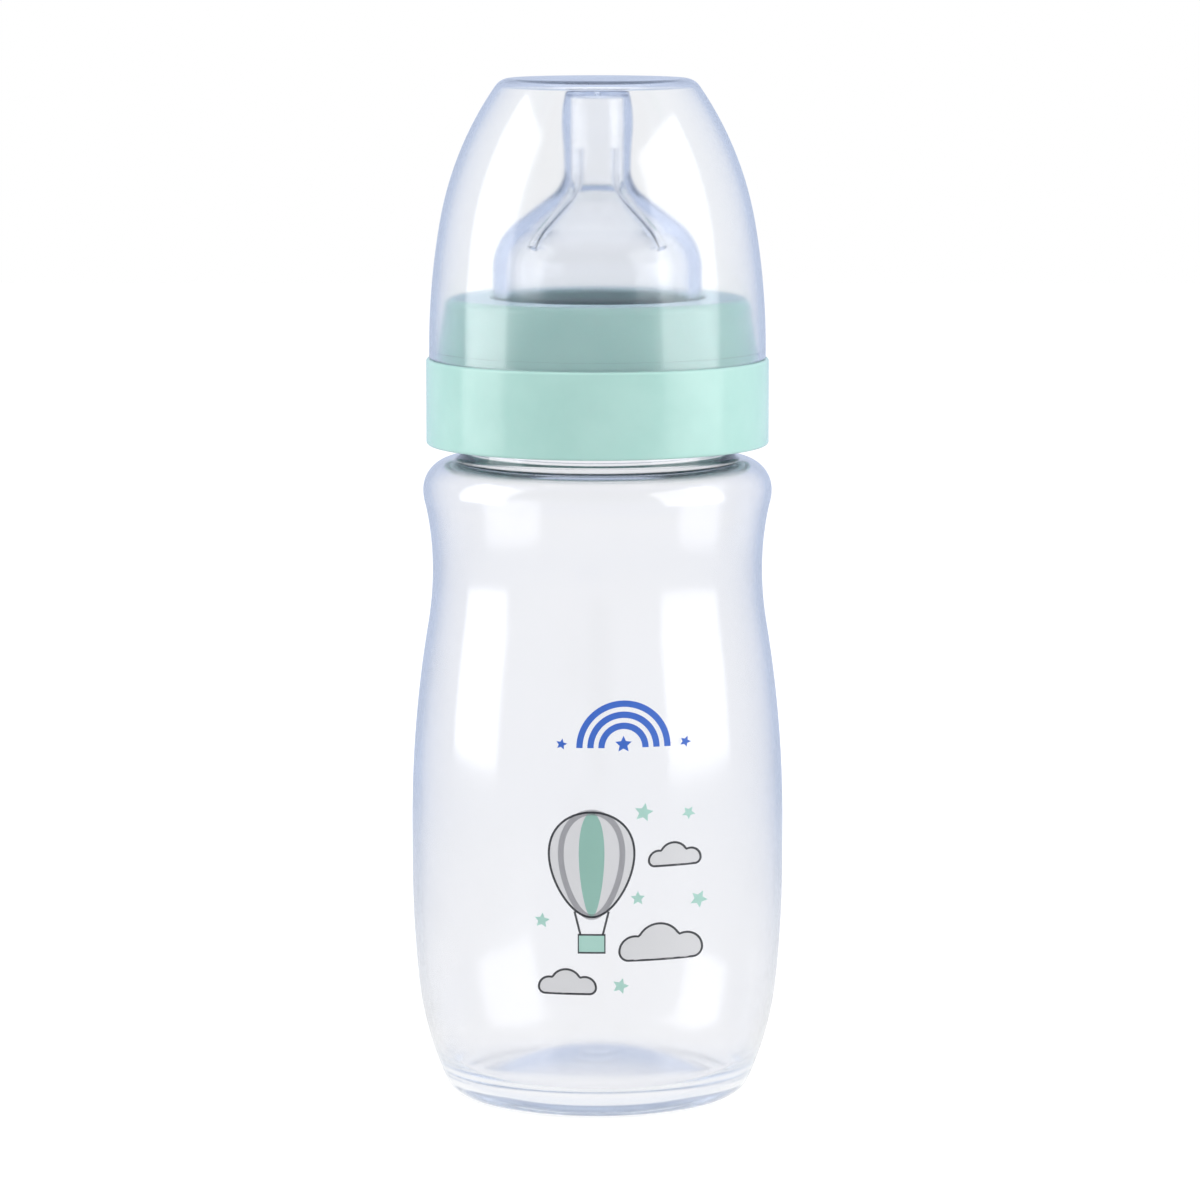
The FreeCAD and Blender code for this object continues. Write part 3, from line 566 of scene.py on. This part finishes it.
def teat_outline():
    """Both skins of the teat and the height of its tip."""
    outer = teat_wall(0, NIPPLE_RADIUS, FLARE_ARC)
    inner = teat_wall(DOME_WALL, NIPPLE_RADIUS - NIPPLE_WALL, FLARE_ARC + NIPPLE_WALL)
    tip = outer[-1][1] + NIPPLE_LENGTH
    bulb = (BULB_RADIUS, tip - BULB_BELOW_TIP)
    nipple = s_bend(outer[-1], bulb, BULB_ARC)
    centre = (BULB_RADIUS - BULB_ARC, bulb[1])
    corner_level = tip - TIP_CORNER
    rise = math.asin((corner_level - centre[1]) / (BULB_ARC - TIP_CORNER))
    corner = (centre[0] + (BULB_ARC - TIP_CORNER) * math.cos(rise), corner_level)
    crown = (centre[0] + BULB_ARC * math.cos(rise), centre[1] + BULB_ARC * math.sin(rise))
    nipple += arc(centre, bulb, crown) + arc(corner, crown, (corner[0], tip))
    hole = FEED_HOLE / 2
    roof = tip - TIP_WALL
    bore = inner[-1][0]
    tip_run = rounded([(corner[0], tip, 0), (hole, tip, HOLE_ROUND), (hole, roof, HOLE_ROUND),
                       (bore, roof, TIP_CORNER / 2), inner[-1] + (0,)])
    stub_bore = DOME_RADIUS - DOME_WALL
    flange = rounded([(stub_bore, DOME_LEVEL, 0), (stub_bore, 0, EDGE_ROUND),
                      (NECK_RADIUS, 0, FLANGE_ROUND), (NECK_RADIUS, FLANGE, FLANGE_ROUND),
                      (DOME_RADIUS, FLANGE, EDGE_ROUND), (DOME_RADIUS, DOME_LEVEL, 0)])
    spots = outer + nipple + tip_run[1:] + inner[::-1][1:] + flange[1:]
    return [(r, LIP + z) for r, z in spots], LIP + tip


teat_spots, TEAT_TIP = teat_outline()
teat = turned("teat_body", teat_spots, SILICONE)
print("teat tip at", round(TEAT_TIP, 2))

# %% [markdown]
# Ribs in the teat
#
# Four slim ribs run inside the teat, from the nipple down the cone to the dome, and keep it from folding.
# One rib is a path along the inner skin with a round profile carried along it, and the tree sets copies
# round the axis.

# %% Teat ribs
RIB_COUNT, RIB_RADIUS, RIB_RISE, RIB_END, RIB_TURN = 4, 0.9, 5.0, 15.2, math.radians(45)
RIB_STEPS, RIB_SIDES, RIB_TAPER = 10, 16, 0.4


def rib_tree():
    """A bar that thins at both ends, carried along a path and copied round the axis."""
    tree, given = new_tree("ribs_round_axis", [("Count", "Int"), ("Radius", "Float"),
                                               ("First Turn", "Float"), ("Material", "Material")])
    path = add(tree, "GeometryNodeMeshToCurve", Mesh=given["Geometry"])
    bar = add(tree, "GeometryNodeCurvePrimitiveCircle", Resolution=RIB_SIDES, Radius=given["Radius"])
    along = add(tree, "GeometryNodeSplineParameter")
    back = add(tree, "ShaderNodeMath", {"operation": "SUBTRACT"}, i0=1.0, i1=along.outputs["Factor"])
    hump = add(tree, "ShaderNodeMath", {"operation": "MULTIPLY"}, i0=along.outputs["Factor"],
               i1=back.outputs[0])
    taper = add(tree, "ShaderNodeMath", {"operation": "POWER"}, i0=hump.outputs[0], i1=RIB_TAPER)
    slim = add(tree, "GeometryNodeSetCurveRadius", Curve=path.outputs[0], Radius=taper.outputs[0])
    rib = add(tree, "GeometryNodeCurveToMesh", Curve=slim.outputs[0], Profile_Curve=bar.outputs[0],
              Fill_Caps=True)
    spots = add(tree, "GeometryNodeMeshLine", Count=given["Count"], Offset=(0, 0, 0))
    index = add(tree, "GeometryNodeInputIndex")
    share = add(tree, "ShaderNodeMath", {"operation": "DIVIDE"}, i0=index.outputs[0], i1=given["Count"])
    turn = add(tree, "ShaderNodeMath", {"operation": "MULTIPLY_ADD"}, i0=share.outputs[0], i1=2 * math.pi,
               i2=given["First Turn"])
    about = add(tree, "ShaderNodeCombineXYZ", Z=turn.outputs[0])
    copies = add(tree, "GeometryNodeInstanceOnPoints", Points=spots.outputs[0], Instance=rib.outputs[0],
                 Rotation=about.outputs[0])
    end_tree(tree, copies.outputs[0], given["Material"])
    return tree


def rib_path():
    """The rib's path on the inner skin: down the nipple, along the cone and out to a radius on the dome."""
    wall = teat_wall(DOME_WALL, NIPPLE_RADIUS - NIPPLE_WALL, FLARE_ARC + NIPPLE_WALL)
    foot = wall[-1]
    column = [(foot[0], foot[1] + RIB_RISE * (1 - k / RIB_STEPS)) for k in range(RIB_STEPS)]
    return column + [spot for spot in wall if spot[0] <= RIB_END][::-1]


mesh = bpy.data.meshes.new("rib_path")
rib_spots = [(r * MM, 0, (LIP + z) * MM) for r, z in rib_path()]
mesh.from_pydata(rib_spots, [(k, k + 1) for k in range(len(rib_spots) - 1)], [])
teat_ribs = plain_mesh("teat_ribs", mesh, rib_tree(), {"Count": RIB_COUNT, "Radius": RIB_RADIUS * MM,
                                                      "First Turn": RIB_TURN, "Material": SILICONE})
finish_mesh(teat_ribs)
print("teat ribs", RIB_COUNT, "faces", len(teat_ribs.data.polygons))

# %% [markdown]
# The cap
#
# A clear dome with a flat top and a slightly thicker rim that holds on to the ring's collar.

# %% Cap outline
CAP_FIT, CAP_RIM_WALL, CAP_RIM_HEIGHT, CAP_WALL, CAP_STEP_ROUND = 0.05, 1.25, 1.5, 1.1, 0.04
CAP_ARCS, CAP_KNEE, TIP_CLEARANCE = (130.0, 60.0, 3.2), 24.0, 0.6


def cap_outline():
    """Both skins of the cap, from the axis on its top, round its rim and back to the axis."""
    grip = COLLAR_BASE + CAP_FIT
    rim = grip + CAP_RIM_WALL
    seat = RING_BOTTOM + LEDGE
    height = TEAT_TIP + TIP_CLEARANCE + CAP_WALL - seat
    outer = bend_chain((rim, CAP_RIM_HEIGHT), CAP_KNEE, height, CAP_ARCS)
    inner_arcs = [radius - CAP_WALL for radius in CAP_ARCS]
    inner = bend_chain((rim - CAP_WALL, CAP_RIM_HEIGHT), CAP_KNEE, height - CAP_WALL, inner_arcs)
    top = [(0, height)] + run((0, height), outer[-1]) + outer[::-1][1:]
    foot = rounded([(rim, CAP_RIM_HEIGHT, 0), (rim, 0, EDGE_ROUND), (grip, 0, EDGE_ROUND),
                    (grip, CAP_RIM_HEIGHT, CAP_STEP_ROUND), (rim - CAP_WALL, CAP_RIM_HEIGHT, 0)])
    ceiling = run(inner[-1], (0, height - CAP_WALL))
    return [(r, seat + z) for r, z in top + foot[1:] + inner[1:] + ceiling]


cap = turned("cap_body", cap_outline(), CAP_PP)

# %% [markdown]
# The print on the front
#
# Pad printing lays thin ink on the finished bottle: flat greys and mint first, black line work over them.
# Each motif is drawn flat as an outline curve. The tree fills it, divides it finely and casts every point
# backwards on to the bottle, where it stops one ink layer above the wall. The design is a plain one of
# this lesson's own.

# %% The print tree
FILL_LAYER, BAND_LAYER, LINE_LAYER, LINE_WIDTH = 0.02, 0.03, 0.04, 0.38
DIVISIONS = {FILL_LAYER: 4, BAND_LAYER: 3, LINE_LAYER: 2}
CAST_FROM, CAST_REACH = -100.0, 200.0


def print_tree():
    """Fills flat outlines, divides them and casts them on to a target's front."""
    tree, given = new_tree("printed_on", [("Target", "Object"), ("Layer", "Float"), ("Divisions", "Int"),
                                         ("Material", "Material")])
    filled = add(tree, "GeometryNodeFillCurve", Curve=given["Geometry"])
    fine = add(tree, "GeometryNodeSubdivideMesh", Mesh=filled.outputs[0], Level=given["Divisions"])
    wall = add(tree, "GeometryNodeObjectInfo", Object=given["Target"])
    place = add(tree, "GeometryNodeInputPosition")
    flat = add(tree, "ShaderNodeSeparateXYZ", Vector=place.outputs[0])
    away = add(tree, "ShaderNodeCombineXYZ", X=flat.outputs["X"], Y=CAST_FROM * MM, Z=flat.outputs["Y"])
    cast = add(tree, "GeometryNodeRaycast", Target_Geometry=wall.outputs["Geometry"],
               Source_Position=away.outputs[0], Ray_Direction=(0, 1, 0), Ray_Length=CAST_REACH * MM)
    lift = add(tree, "ShaderNodeVectorMath", {"operation": "SCALE"}, i0=cast.outputs["Hit Normal"],
               Scale=given["Layer"])
    spot = add(tree, "ShaderNodeVectorMath", {"operation": "ADD"}, i0=cast.outputs["Hit Position"],
               i1=lift.outputs[0])
    laid = add(tree, "GeometryNodeSetPosition", Geometry=fine.outputs[0], Position=spot.outputs[0])
    end_tree(tree, laid.outputs[0], given["Material"])
    return tree


PRINT = print_tree()
print("print tree nodes", len(PRINT.nodes))

# %% Inks
INK_CLEARNESS, INK_GRAIN = 0.45, 0.25
INK_GLOSS, INK_WAVES = (INK_GRAIN, 0.38, 0.55), (INK_GRAIN, GRAIN_DETAIL, 0.004, 0.2)
INK_COLOURS = {"black": "#2a2b2e", "grey": "#dededf", "dark_grey": "#b4b4b8", "mint": "#a3d8c8",
               "blue": "#1a4fc4"}


def ink(name, hex_colour):
    """Printing ink: satin, thin enough to let light through, with a faint speckle in its gloss."""
    material, tree, shader = new_material(f"pad_print_ink_{name}")
    shader.inputs["Base Color"].default_value = linear(hex_colour)
    shader.inputs["Transmission Weight"].default_value = INK_CLEARNESS
    moulded_skin(tree, shader, INK_GLOSS, INK_WAVES)
    return material


INKS = {name: ink(name, colour) for name, colour in INK_COLOURS.items()}
print("inks", sorted(INKS))

# %% Lay a motif on the bottle
prints = []


def lay(name, loops, colour, layer):
    """Prints closed loops of (x, height) points in millimetres; a loop inside another one is a hole."""
    curve = bpy.data.curves.new(name, "CURVE")
    curve.dimensions = "3D"
    for loop in loops:
        spline = curve.splines.new("POLY")
        spline.points.add(len(loop) - 1)
        for point, (x, z) in zip(spline.points, loop):
            point.co = (x * MM, z * MM, 0, 1)
        spline.use_cyclic_u = True
    piece = plain_mesh(name, curve, PRINT, {"Target": bottle, "Layer": layer * MM,
                                            "Divisions": DIVISIONS[layer], "Material": INKS[colour]})
    finish_mesh(piece)
    prints.append(piece)


print("ink lies", FILL_LAYER, "to", LINE_LAYER, "mm above the wall")

# %% [markdown]
# Motifs from formulas
#
# A balloon, clouds, stars and a rainbow need only a few formulas: a circle that narrows below, three
# rounds on a flat foot, points that step in and out, and half rings. A line is a loop's two edges, half
# its width to each side.

# %% Motif shapes
STAR_POINTS, STAR_NOTCH = 5, 0.48
BALLOON_WIDTH, BALLOON_SWELL, BALLOON_TALL, BALLOON_POINTS = 0.88, 0.2, 1.12, 72
CREST_STEPS, BOW_STEPS = 60, 40


def star(centre, size, tilt=0.0):
    """Points that step in and out round a centre."""
    spots = []
    for k in range(2 * STAR_POINTS):
        reach = size if k % 2 == 0 else size * STAR_NOTCH
        angle = math.pi * k / STAR_POINTS + tilt
        spots.append((centre[0] + reach * math.sin(angle), centre[1] + reach * math.cos(angle)))
    return spots


def balloon(centre, size, share=1.0):
    """An envelope that narrows towards its basket; a smaller share gives a gore's outline."""
    turns = [2 * math.pi * k / BALLOON_POINTS for k in range(BALLOON_POINTS)]
    return [(centre[0] + share * size * math.sin(t) * (BALLOON_WIDTH + BALLOON_SWELL * math.cos(t)),
             centre[1] + BALLOON_TALL * size * math.cos(t)) for t in turns]


CLOUD_ROUNDS = ((-0.28, 0.10, 0.17), (-0.02, 0.16, 0.24), (0.27, 0.10, 0.18))


def cloud(centre, width):
    """Three rounds side by side on a flat foot with round corners, from left to right and back."""
    left, right = CLOUD_ROUNDS[0], CLOUD_ROUNDS[-1]
    ends = (left[0] - left[2], right[0] + right[2])
    crest = []
    for k in range(CREST_STEPS + 1):
        x = ends[0] + (ends[1] - ends[0]) * (1 - math.cos(math.pi * k / CREST_STEPS)) / 2
        tops = [z + math.sqrt(max(0, r ** 2 - (x - mid) ** 2)) for mid, z, r in CLOUD_ROUNDS
                if abs(x - mid) <= r]
        crest.append((x, max(tops, default=left[1])))
    foot = arc((ends[1] - right[1], right[1]), (ends[1], right[1]), (ends[1] - right[1], 0))
    foot += [(ends[0] + left[1], 0)]
    foot += arc((ends[0] + left[1], left[1]), (ends[0] + left[1], 0), (ends[0], left[1]))[:-1]
    return [(centre[0] + width * x, centre[1] + width * z) for x, z in crest + foot]


def bow(centre, radius, width):
    """One band of a rainbow."""
    angles = [math.pi * k / BOW_STEPS for k in range(BOW_STEPS + 1)]
    edges = [[(centre[0] + r * math.cos(a), centre[1] + r * math.sin(a)) for a in angles]
             for r in (radius - width / 2, radius + width / 2)]
    return edges[0] + edges[1][::-1]


print("a cloud has", len(cloud((0, 0), 1)), "points, a star", len(star((0, 0), 1)))

# %% Lines and boxes
def line_round(loop, width=LINE_WIDTH):
    """The two edges of a line along a closed loop."""
    edges = [[], []]
    for before, spot, after in zip(loop[-1:] + loop[:-1], loop, loop[1:] + loop[:1]):
        way = math.dist(before, after)
        across = ((after[1] - before[1]) / way * width / 2, (before[0] - after[0]) / way * width / 2)
        edges[0].append((spot[0] + across[0], spot[1] + across[1]))
        edges[1].append((spot[0] - across[0], spot[1] - across[1]))
    return edges


def bar(first, last, width=LINE_WIDTH):
    """A straight line as a slim box."""
    way = math.dist(first, last)
    across = ((last[1] - first[1]) / way * width / 2, (first[0] - last[0]) / way * width / 2)
    return [(first[0] + across[0], first[1] + across[1]), (last[0] + across[0], last[1] + across[1]),
            (last[0] - across[0], last[1] - across[1]), (first[0] - across[0], first[1] - across[1])]


def box(centre, width, height):
    """An upright box."""
    x, z = width / 2, height / 2
    return [(centre[0] + a * x, centre[1] + b * z) for a, b in ((-1, -1), (1, -1), (1, 1), (-1, 1))]


print("a line round a box has", len(line_round(box((0, 0), 1, 1))), "edges")

# %% [markdown]
# The design itself
#
# A balloon drifts among clouds and stars, with a blue rainbow above them.

# %% Print the design
BALLOON, BALLOON_SIZE = (-1.0, 46.5), 8.2
BASKET, BASKET_WIDTH, BASKET_HEIGHT = (-1.0, 32.6), 4.6, 3.2
GREY_GORES, GORE_LINE, MINT_GORE = 0.72, 1.0, 0.3
ROPE_FOOT, ROPE_TOP = 0.42, 0.36
CLOUDS = (((11.0, 29.5), 16.0), ((-5.2, 23.6), 11.0), ((13.4, 46.0), 10.0))
STARS = (((8.0, 55.5), 1.7, 0.2), ((17.6, 39.6), 1.6, 0.5), ((7.0, 40.5), 1.3, 0.0),
         ((4.0, 25.0), 1.5, 0.3), ((-9.6, 36.5), 1.4, 0.1), ((15.8, 55.0), 1.2, 0.6))
RAINBOW, BOW_WIDTH = (4.5, 66.8), 1.1
BOW_RADII = (7.6, 5.7, 3.8)
BLUE_STARS = (((4.5, 67.4), 1.5, 0.0), ((-6.2, 67.4), 1.0, 0.2), ((15.2, 67.4), 1.0, 0.4))

lay("print_balloon", [balloon(BALLOON, BALLOON_SIZE)], "grey", FILL_LAYER)
lay("print_gores", line_round(balloon(BALLOON, BALLOON_SIZE, GREY_GORES), GORE_LINE), "dark_grey", BAND_LAYER)
lay("print_gore_mint", [balloon(BALLOON, BALLOON_SIZE, MINT_GORE)], "mint", BAND_LAYER)
lay("print_balloon_line", line_round(balloon(BALLOON, BALLOON_SIZE)), "black", LINE_LAYER)
lay("print_basket", [box(BASKET, BASKET_WIDTH, BASKET_HEIGHT)], "mint", FILL_LAYER)
lay("print_basket_line", line_round(box(BASKET, BASKET_WIDTH, BASKET_HEIGHT)), "black", LINE_LAYER)
for side in (-1, 1):
    rope_foot = (BASKET[0] + side * BASKET_WIDTH * ROPE_FOOT, BASKET[1] + BASKET_HEIGHT / 2)
    rope_top = (BALLOON[0] + side * BALLOON_SIZE * ROPE_TOP, BALLOON[1] - BALLOON_SIZE)
    lay(f"print_rope_{side + 1}", [bar(rope_foot, rope_top)], "black", LINE_LAYER)
for number, (centre, width) in enumerate(CLOUDS):
    lay(f"print_cloud_{number}", [cloud(centre, width)], "grey", FILL_LAYER)
    lay(f"print_cloud_line_{number}", line_round(cloud(centre, width)), "black", LINE_LAYER)
lay("print_stars", [star(*spec) for spec in STARS], "mint", FILL_LAYER)
lay("print_rainbow", [bow(RAINBOW, radius, BOW_WIDTH) for radius in BOW_RADII], "blue", FILL_LAYER)
lay("print_blue_stars", [star(*spec) for spec in BLUE_STARS], "blue", FILL_LAYER)
for piece in prints:
    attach(piece, "bottle")
print("printed pieces", len(prints))

# %% [markdown]
# What rides on what
#
# Every piece moves with one rigid body of the frame, and each new skin stands for its CAD node.

# %% Ride and replace
for piece, body, node, slot in (
        (bottle, "bottle", "bottle", "bottle_clear_pp"), (neck_thread, "bottle", None, "bottle_clear_pp"),
        (teat, "teat", "teat", "teat_silicone"), (teat_ribs, "teat", None, "teat_silicone"),
        (ring, "screw_ring", "screw_ring", "ring_mint_pp"), (ring_thread, "screw_ring", None, "ring_mint_pp"),
        (cap, "cap", "cap", "cap_clear_pp")):
    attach(piece, body)
    if node:
        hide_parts(node)
    print(piece.name, "rides on", body)

# %% [markdown]
# Floor and background
#
# The set is white. The floor keeps the bottle's soft shadow, and the world behind it is plain white to
# the eye and through clear plastic, and a softer light on everything else. A clear piece on plain white
# has no outline, so photographers stand something darker just out of the picture. Here the room is a pale
# blue grey where a surface mirrors it, and the rims of the clear pieces show. The floor turns to that
# colour only further off, so the foot mirrors white.

# %% The floor
FLOOR_SIZE, FLOOR_GREY, FLOOR_ROUGHNESS = 4.0, "#b0b1b4", 0.9
FLOOR_GLOW = (0.25, 0.77)
WHITE, MIRRORED_ROOM = "#ffffff", "#cbd7ef"
WHITE_REACH = (0.05, 0.35)


def room_colour(tree, path, share):
    """White, and by a share a pale blue grey where a surface mirrors it."""
    mirrored = add(tree, "ShaderNodeMath", {"operation": "MINIMUM"}, i0=path.outputs["Glossy Depth"],
                   i1=share)
    colour = add(tree, "ShaderNodeMix", {"data_type": "RGBA"}, Factor=mirrored.outputs[0])
    colour.inputs["A"].default_value = linear(WHITE)
    colour.inputs["B"].default_value = linear(MIRRORED_ROOM)
    return colour


def white_floor():
    """A white board with a soft shadow; in plastic it is plain, and takes the room's colour far off."""
    material, tree, shader = new_material("white_board")
    shader.inputs["Base Color"].default_value = linear(FLOOR_GREY)
    shader.inputs["Roughness"].default_value = FLOOR_ROUGHNESS
    shader.inputs["Specular IOR Level"].default_value = 0.0
    shader.inputs["Emission Color"].default_value = linear(WHITE)
    path = add(tree, "ShaderNodeLightPath")
    level = add(tree, "ShaderNodeMapRange", Value=path.outputs["Is Camera Ray"], To_Min=FLOOR_GLOW[0],
                To_Max=FLOOR_GLOW[1])
    tree.links.new(level.outputs[0], shader.inputs["Emission Strength"])
    beyond = add(tree, "ShaderNodeMath", {"operation": "MAXIMUM"}, i0=path.outputs["Is Transmission Ray"],
                 i1=path.outputs["Is Glossy Ray"])
    where = add(tree, "ShaderNodeTexCoord")
    away = add(tree, "ShaderNodeVectorMath", {"operation": "LENGTH"}, i0=where.outputs["Object"])
    far = add(tree, "ShaderNodeMapRange", Value=away.outputs["Value"], From_Min=WHITE_REACH[0],
              From_Max=WHITE_REACH[1])
    colour = room_colour(tree, path, far.outputs[0])
    plain = add(tree, "ShaderNodeEmission", Color=colour.outputs["Result"], Strength=1.0)
    mix = add(tree, "ShaderNodeMixShader", i0=beyond.outputs[0], i1=shader.outputs[0], i2=plain.outputs[0])
    tree.links.new(mix.outputs[0], tree.nodes["Material Output"].inputs["Surface"])
    return material


mesh = bpy.data.meshes.new("floor")
half = FLOOR_SIZE / 2
corners = [(-half, -half, 0), (half, -half, 0), (half, half, 0), (-half, half, 0)]
mesh.from_pydata(corners, [], [(0, 1, 2, 3)])
mesh.materials.append(white_floor())
floor = bpy.data.objects.new("floor", mesh)
bpy.context.scene.collection.objects.link(floor)
print("floor", FLOOR_SIZE, "m across")

# %% The world
WORLD_LEVELS = (0.6, 1.0)


def seen_white(tree, path):
    """One for rays from the camera, through clear pieces and off glossy ones, and nought for all others."""
    pair = add(tree, "ShaderNodeMath", {"operation": "MAXIMUM"}, i0=path.outputs["Is Camera Ray"],
               i1=path.outputs["Is Transmission Ray"])
    return add(tree, "ShaderNodeMath", {"operation": "MAXIMUM"}, i0=pair.outputs[0],
               i1=path.outputs["Is Glossy Ray"])


world = bpy.data.worlds.new("studio")
bpy.context.scene.world = world
world.use_nodes = True
sky = world.node_tree
for node in list(sky.nodes):
    sky.nodes.remove(node)
path = add(sky, "ShaderNodeLightPath")
level = add(sky, "ShaderNodeMapRange", Value=seen_white(sky, path).outputs[0], To_Min=WORLD_LEVELS[0],
            To_Max=WORLD_LEVELS[1])
light = add(sky, "ShaderNodeBackground", Color=room_colour(sky, path, 1.0).outputs["Result"],
            Strength=level.outputs[0])
add(sky, "ShaderNodeOutputWorld", Surface=light.outputs[0])
print("world", world.name, "with levels", WORLD_LEVELS)

# %% [markdown]
# Lamps
#
# Two tall soft boxes at the sides draw the light strips on the ring and the cap, and a wide one above
# fills in. They light what stands inside the clear cap too. Straight through clear plastic they add
# nothing to the white room, so they don't show as shapes behind the bottle.

# %% Soft boxes
UNBOUNCED = 0.5


def soft_box(name, place, target, size, power):
    """A rectangular lamp turned to a target, hidden from the camera and straight through plastic."""
    lamp = bpy.data.lights.new(name, "AREA")
    lamp.shape = "RECTANGLE"
    lamp.size, lamp.size_y = size
    lamp.energy = power
    lamp.use_nodes = True
    tree = lamp.node_tree
    path = add(tree, "ShaderNodeLightPath")
    bounced = add(tree, "ShaderNodeMath", {"operation": "ADD"}, i0=path.outputs["Diffuse Depth"],
                  i1=path.outputs["Glossy Depth"])
    straight = add(tree, "ShaderNodeMath", {"operation": "LESS_THAN"}, i0=bounced.outputs[0], i1=UNBOUNCED)
    through = add(tree, "ShaderNodeMath", {"operation": "MINIMUM"}, i0=path.outputs["Transmission Depth"],
                  i1=straight.outputs[0])
    level = add(tree, "ShaderNodeMath", {"operation": "SUBTRACT", "use_clamp": True}, i0=1.0,
                i1=through.outputs[0])
    tree.links.new(level.outputs[0], tree.nodes["Emission"].inputs["Strength"])
    box = bpy.data.objects.new(name, lamp)
    bpy.context.scene.collection.objects.link(box)
    box.location = place
    box.visible_camera = False
    aim = [t - p for t, p in zip(target, place)]
    box.rotation_euler = Vector(aim).to_track_quat("-Z", "Y").to_euler()
    print(name, power, "W")


soft_box("left_box", place=(-0.8, -0.1, 0.4), target=(0, 0, 0.15), size=(0.6, 0.9), power=4.2)
soft_box("right_box", place=(0.78, -0.32, 0.4), target=(0, 0, 0.15), size=(0.8, 0.9), power=5.0)
soft_box("top_box", place=(0, 0.1, 1.1), target=(0, 0, 0.1), size=(0.9, 0.7), power=2.0)

# %% [markdown]
# The camera
#
# The picture was taken with a long lens from slightly above, about 0.9 m away.

# %% Camera
LENS, SENSOR = 154.4, 36.0
LIGHT_STEPS = 32
DISTANCE, PITCH_DOWN, AIM_HEIGHT, SIDE_STEP = 0.916, math.radians(7.648), 0.08823, 0.00045
eye = bpy.data.cameras.new("camera")
eye.lens, eye.sensor_width = LENS, SENSOR
camera = bpy.data.objects.new("camera", eye)
bpy.context.scene.collection.objects.link(camera)
camera.location = (SIDE_STEP, -DISTANCE * math.cos(PITCH_DOWN),
                   AIM_HEIGHT + DISTANCE * math.sin(PITCH_DOWN))
camera.rotation_euler = (math.pi / 2 - PITCH_DOWN, 0, 0)
bpy.context.scene.camera = camera
bpy.context.scene.view_settings.view_transform = "Standard"
# Light crosses many skins in a clear foot or neck before it leaves again.
bpy.context.scene.cycles.max_bounces = LIGHT_STEPS
bpy.context.scene.cycles.transmission_bounces = LIGHT_STEPS
bpy.context.scene.cycles.glossy_bounces = LIGHT_STEPS
print("camera at", [round(v, 3) for v in camera.location])
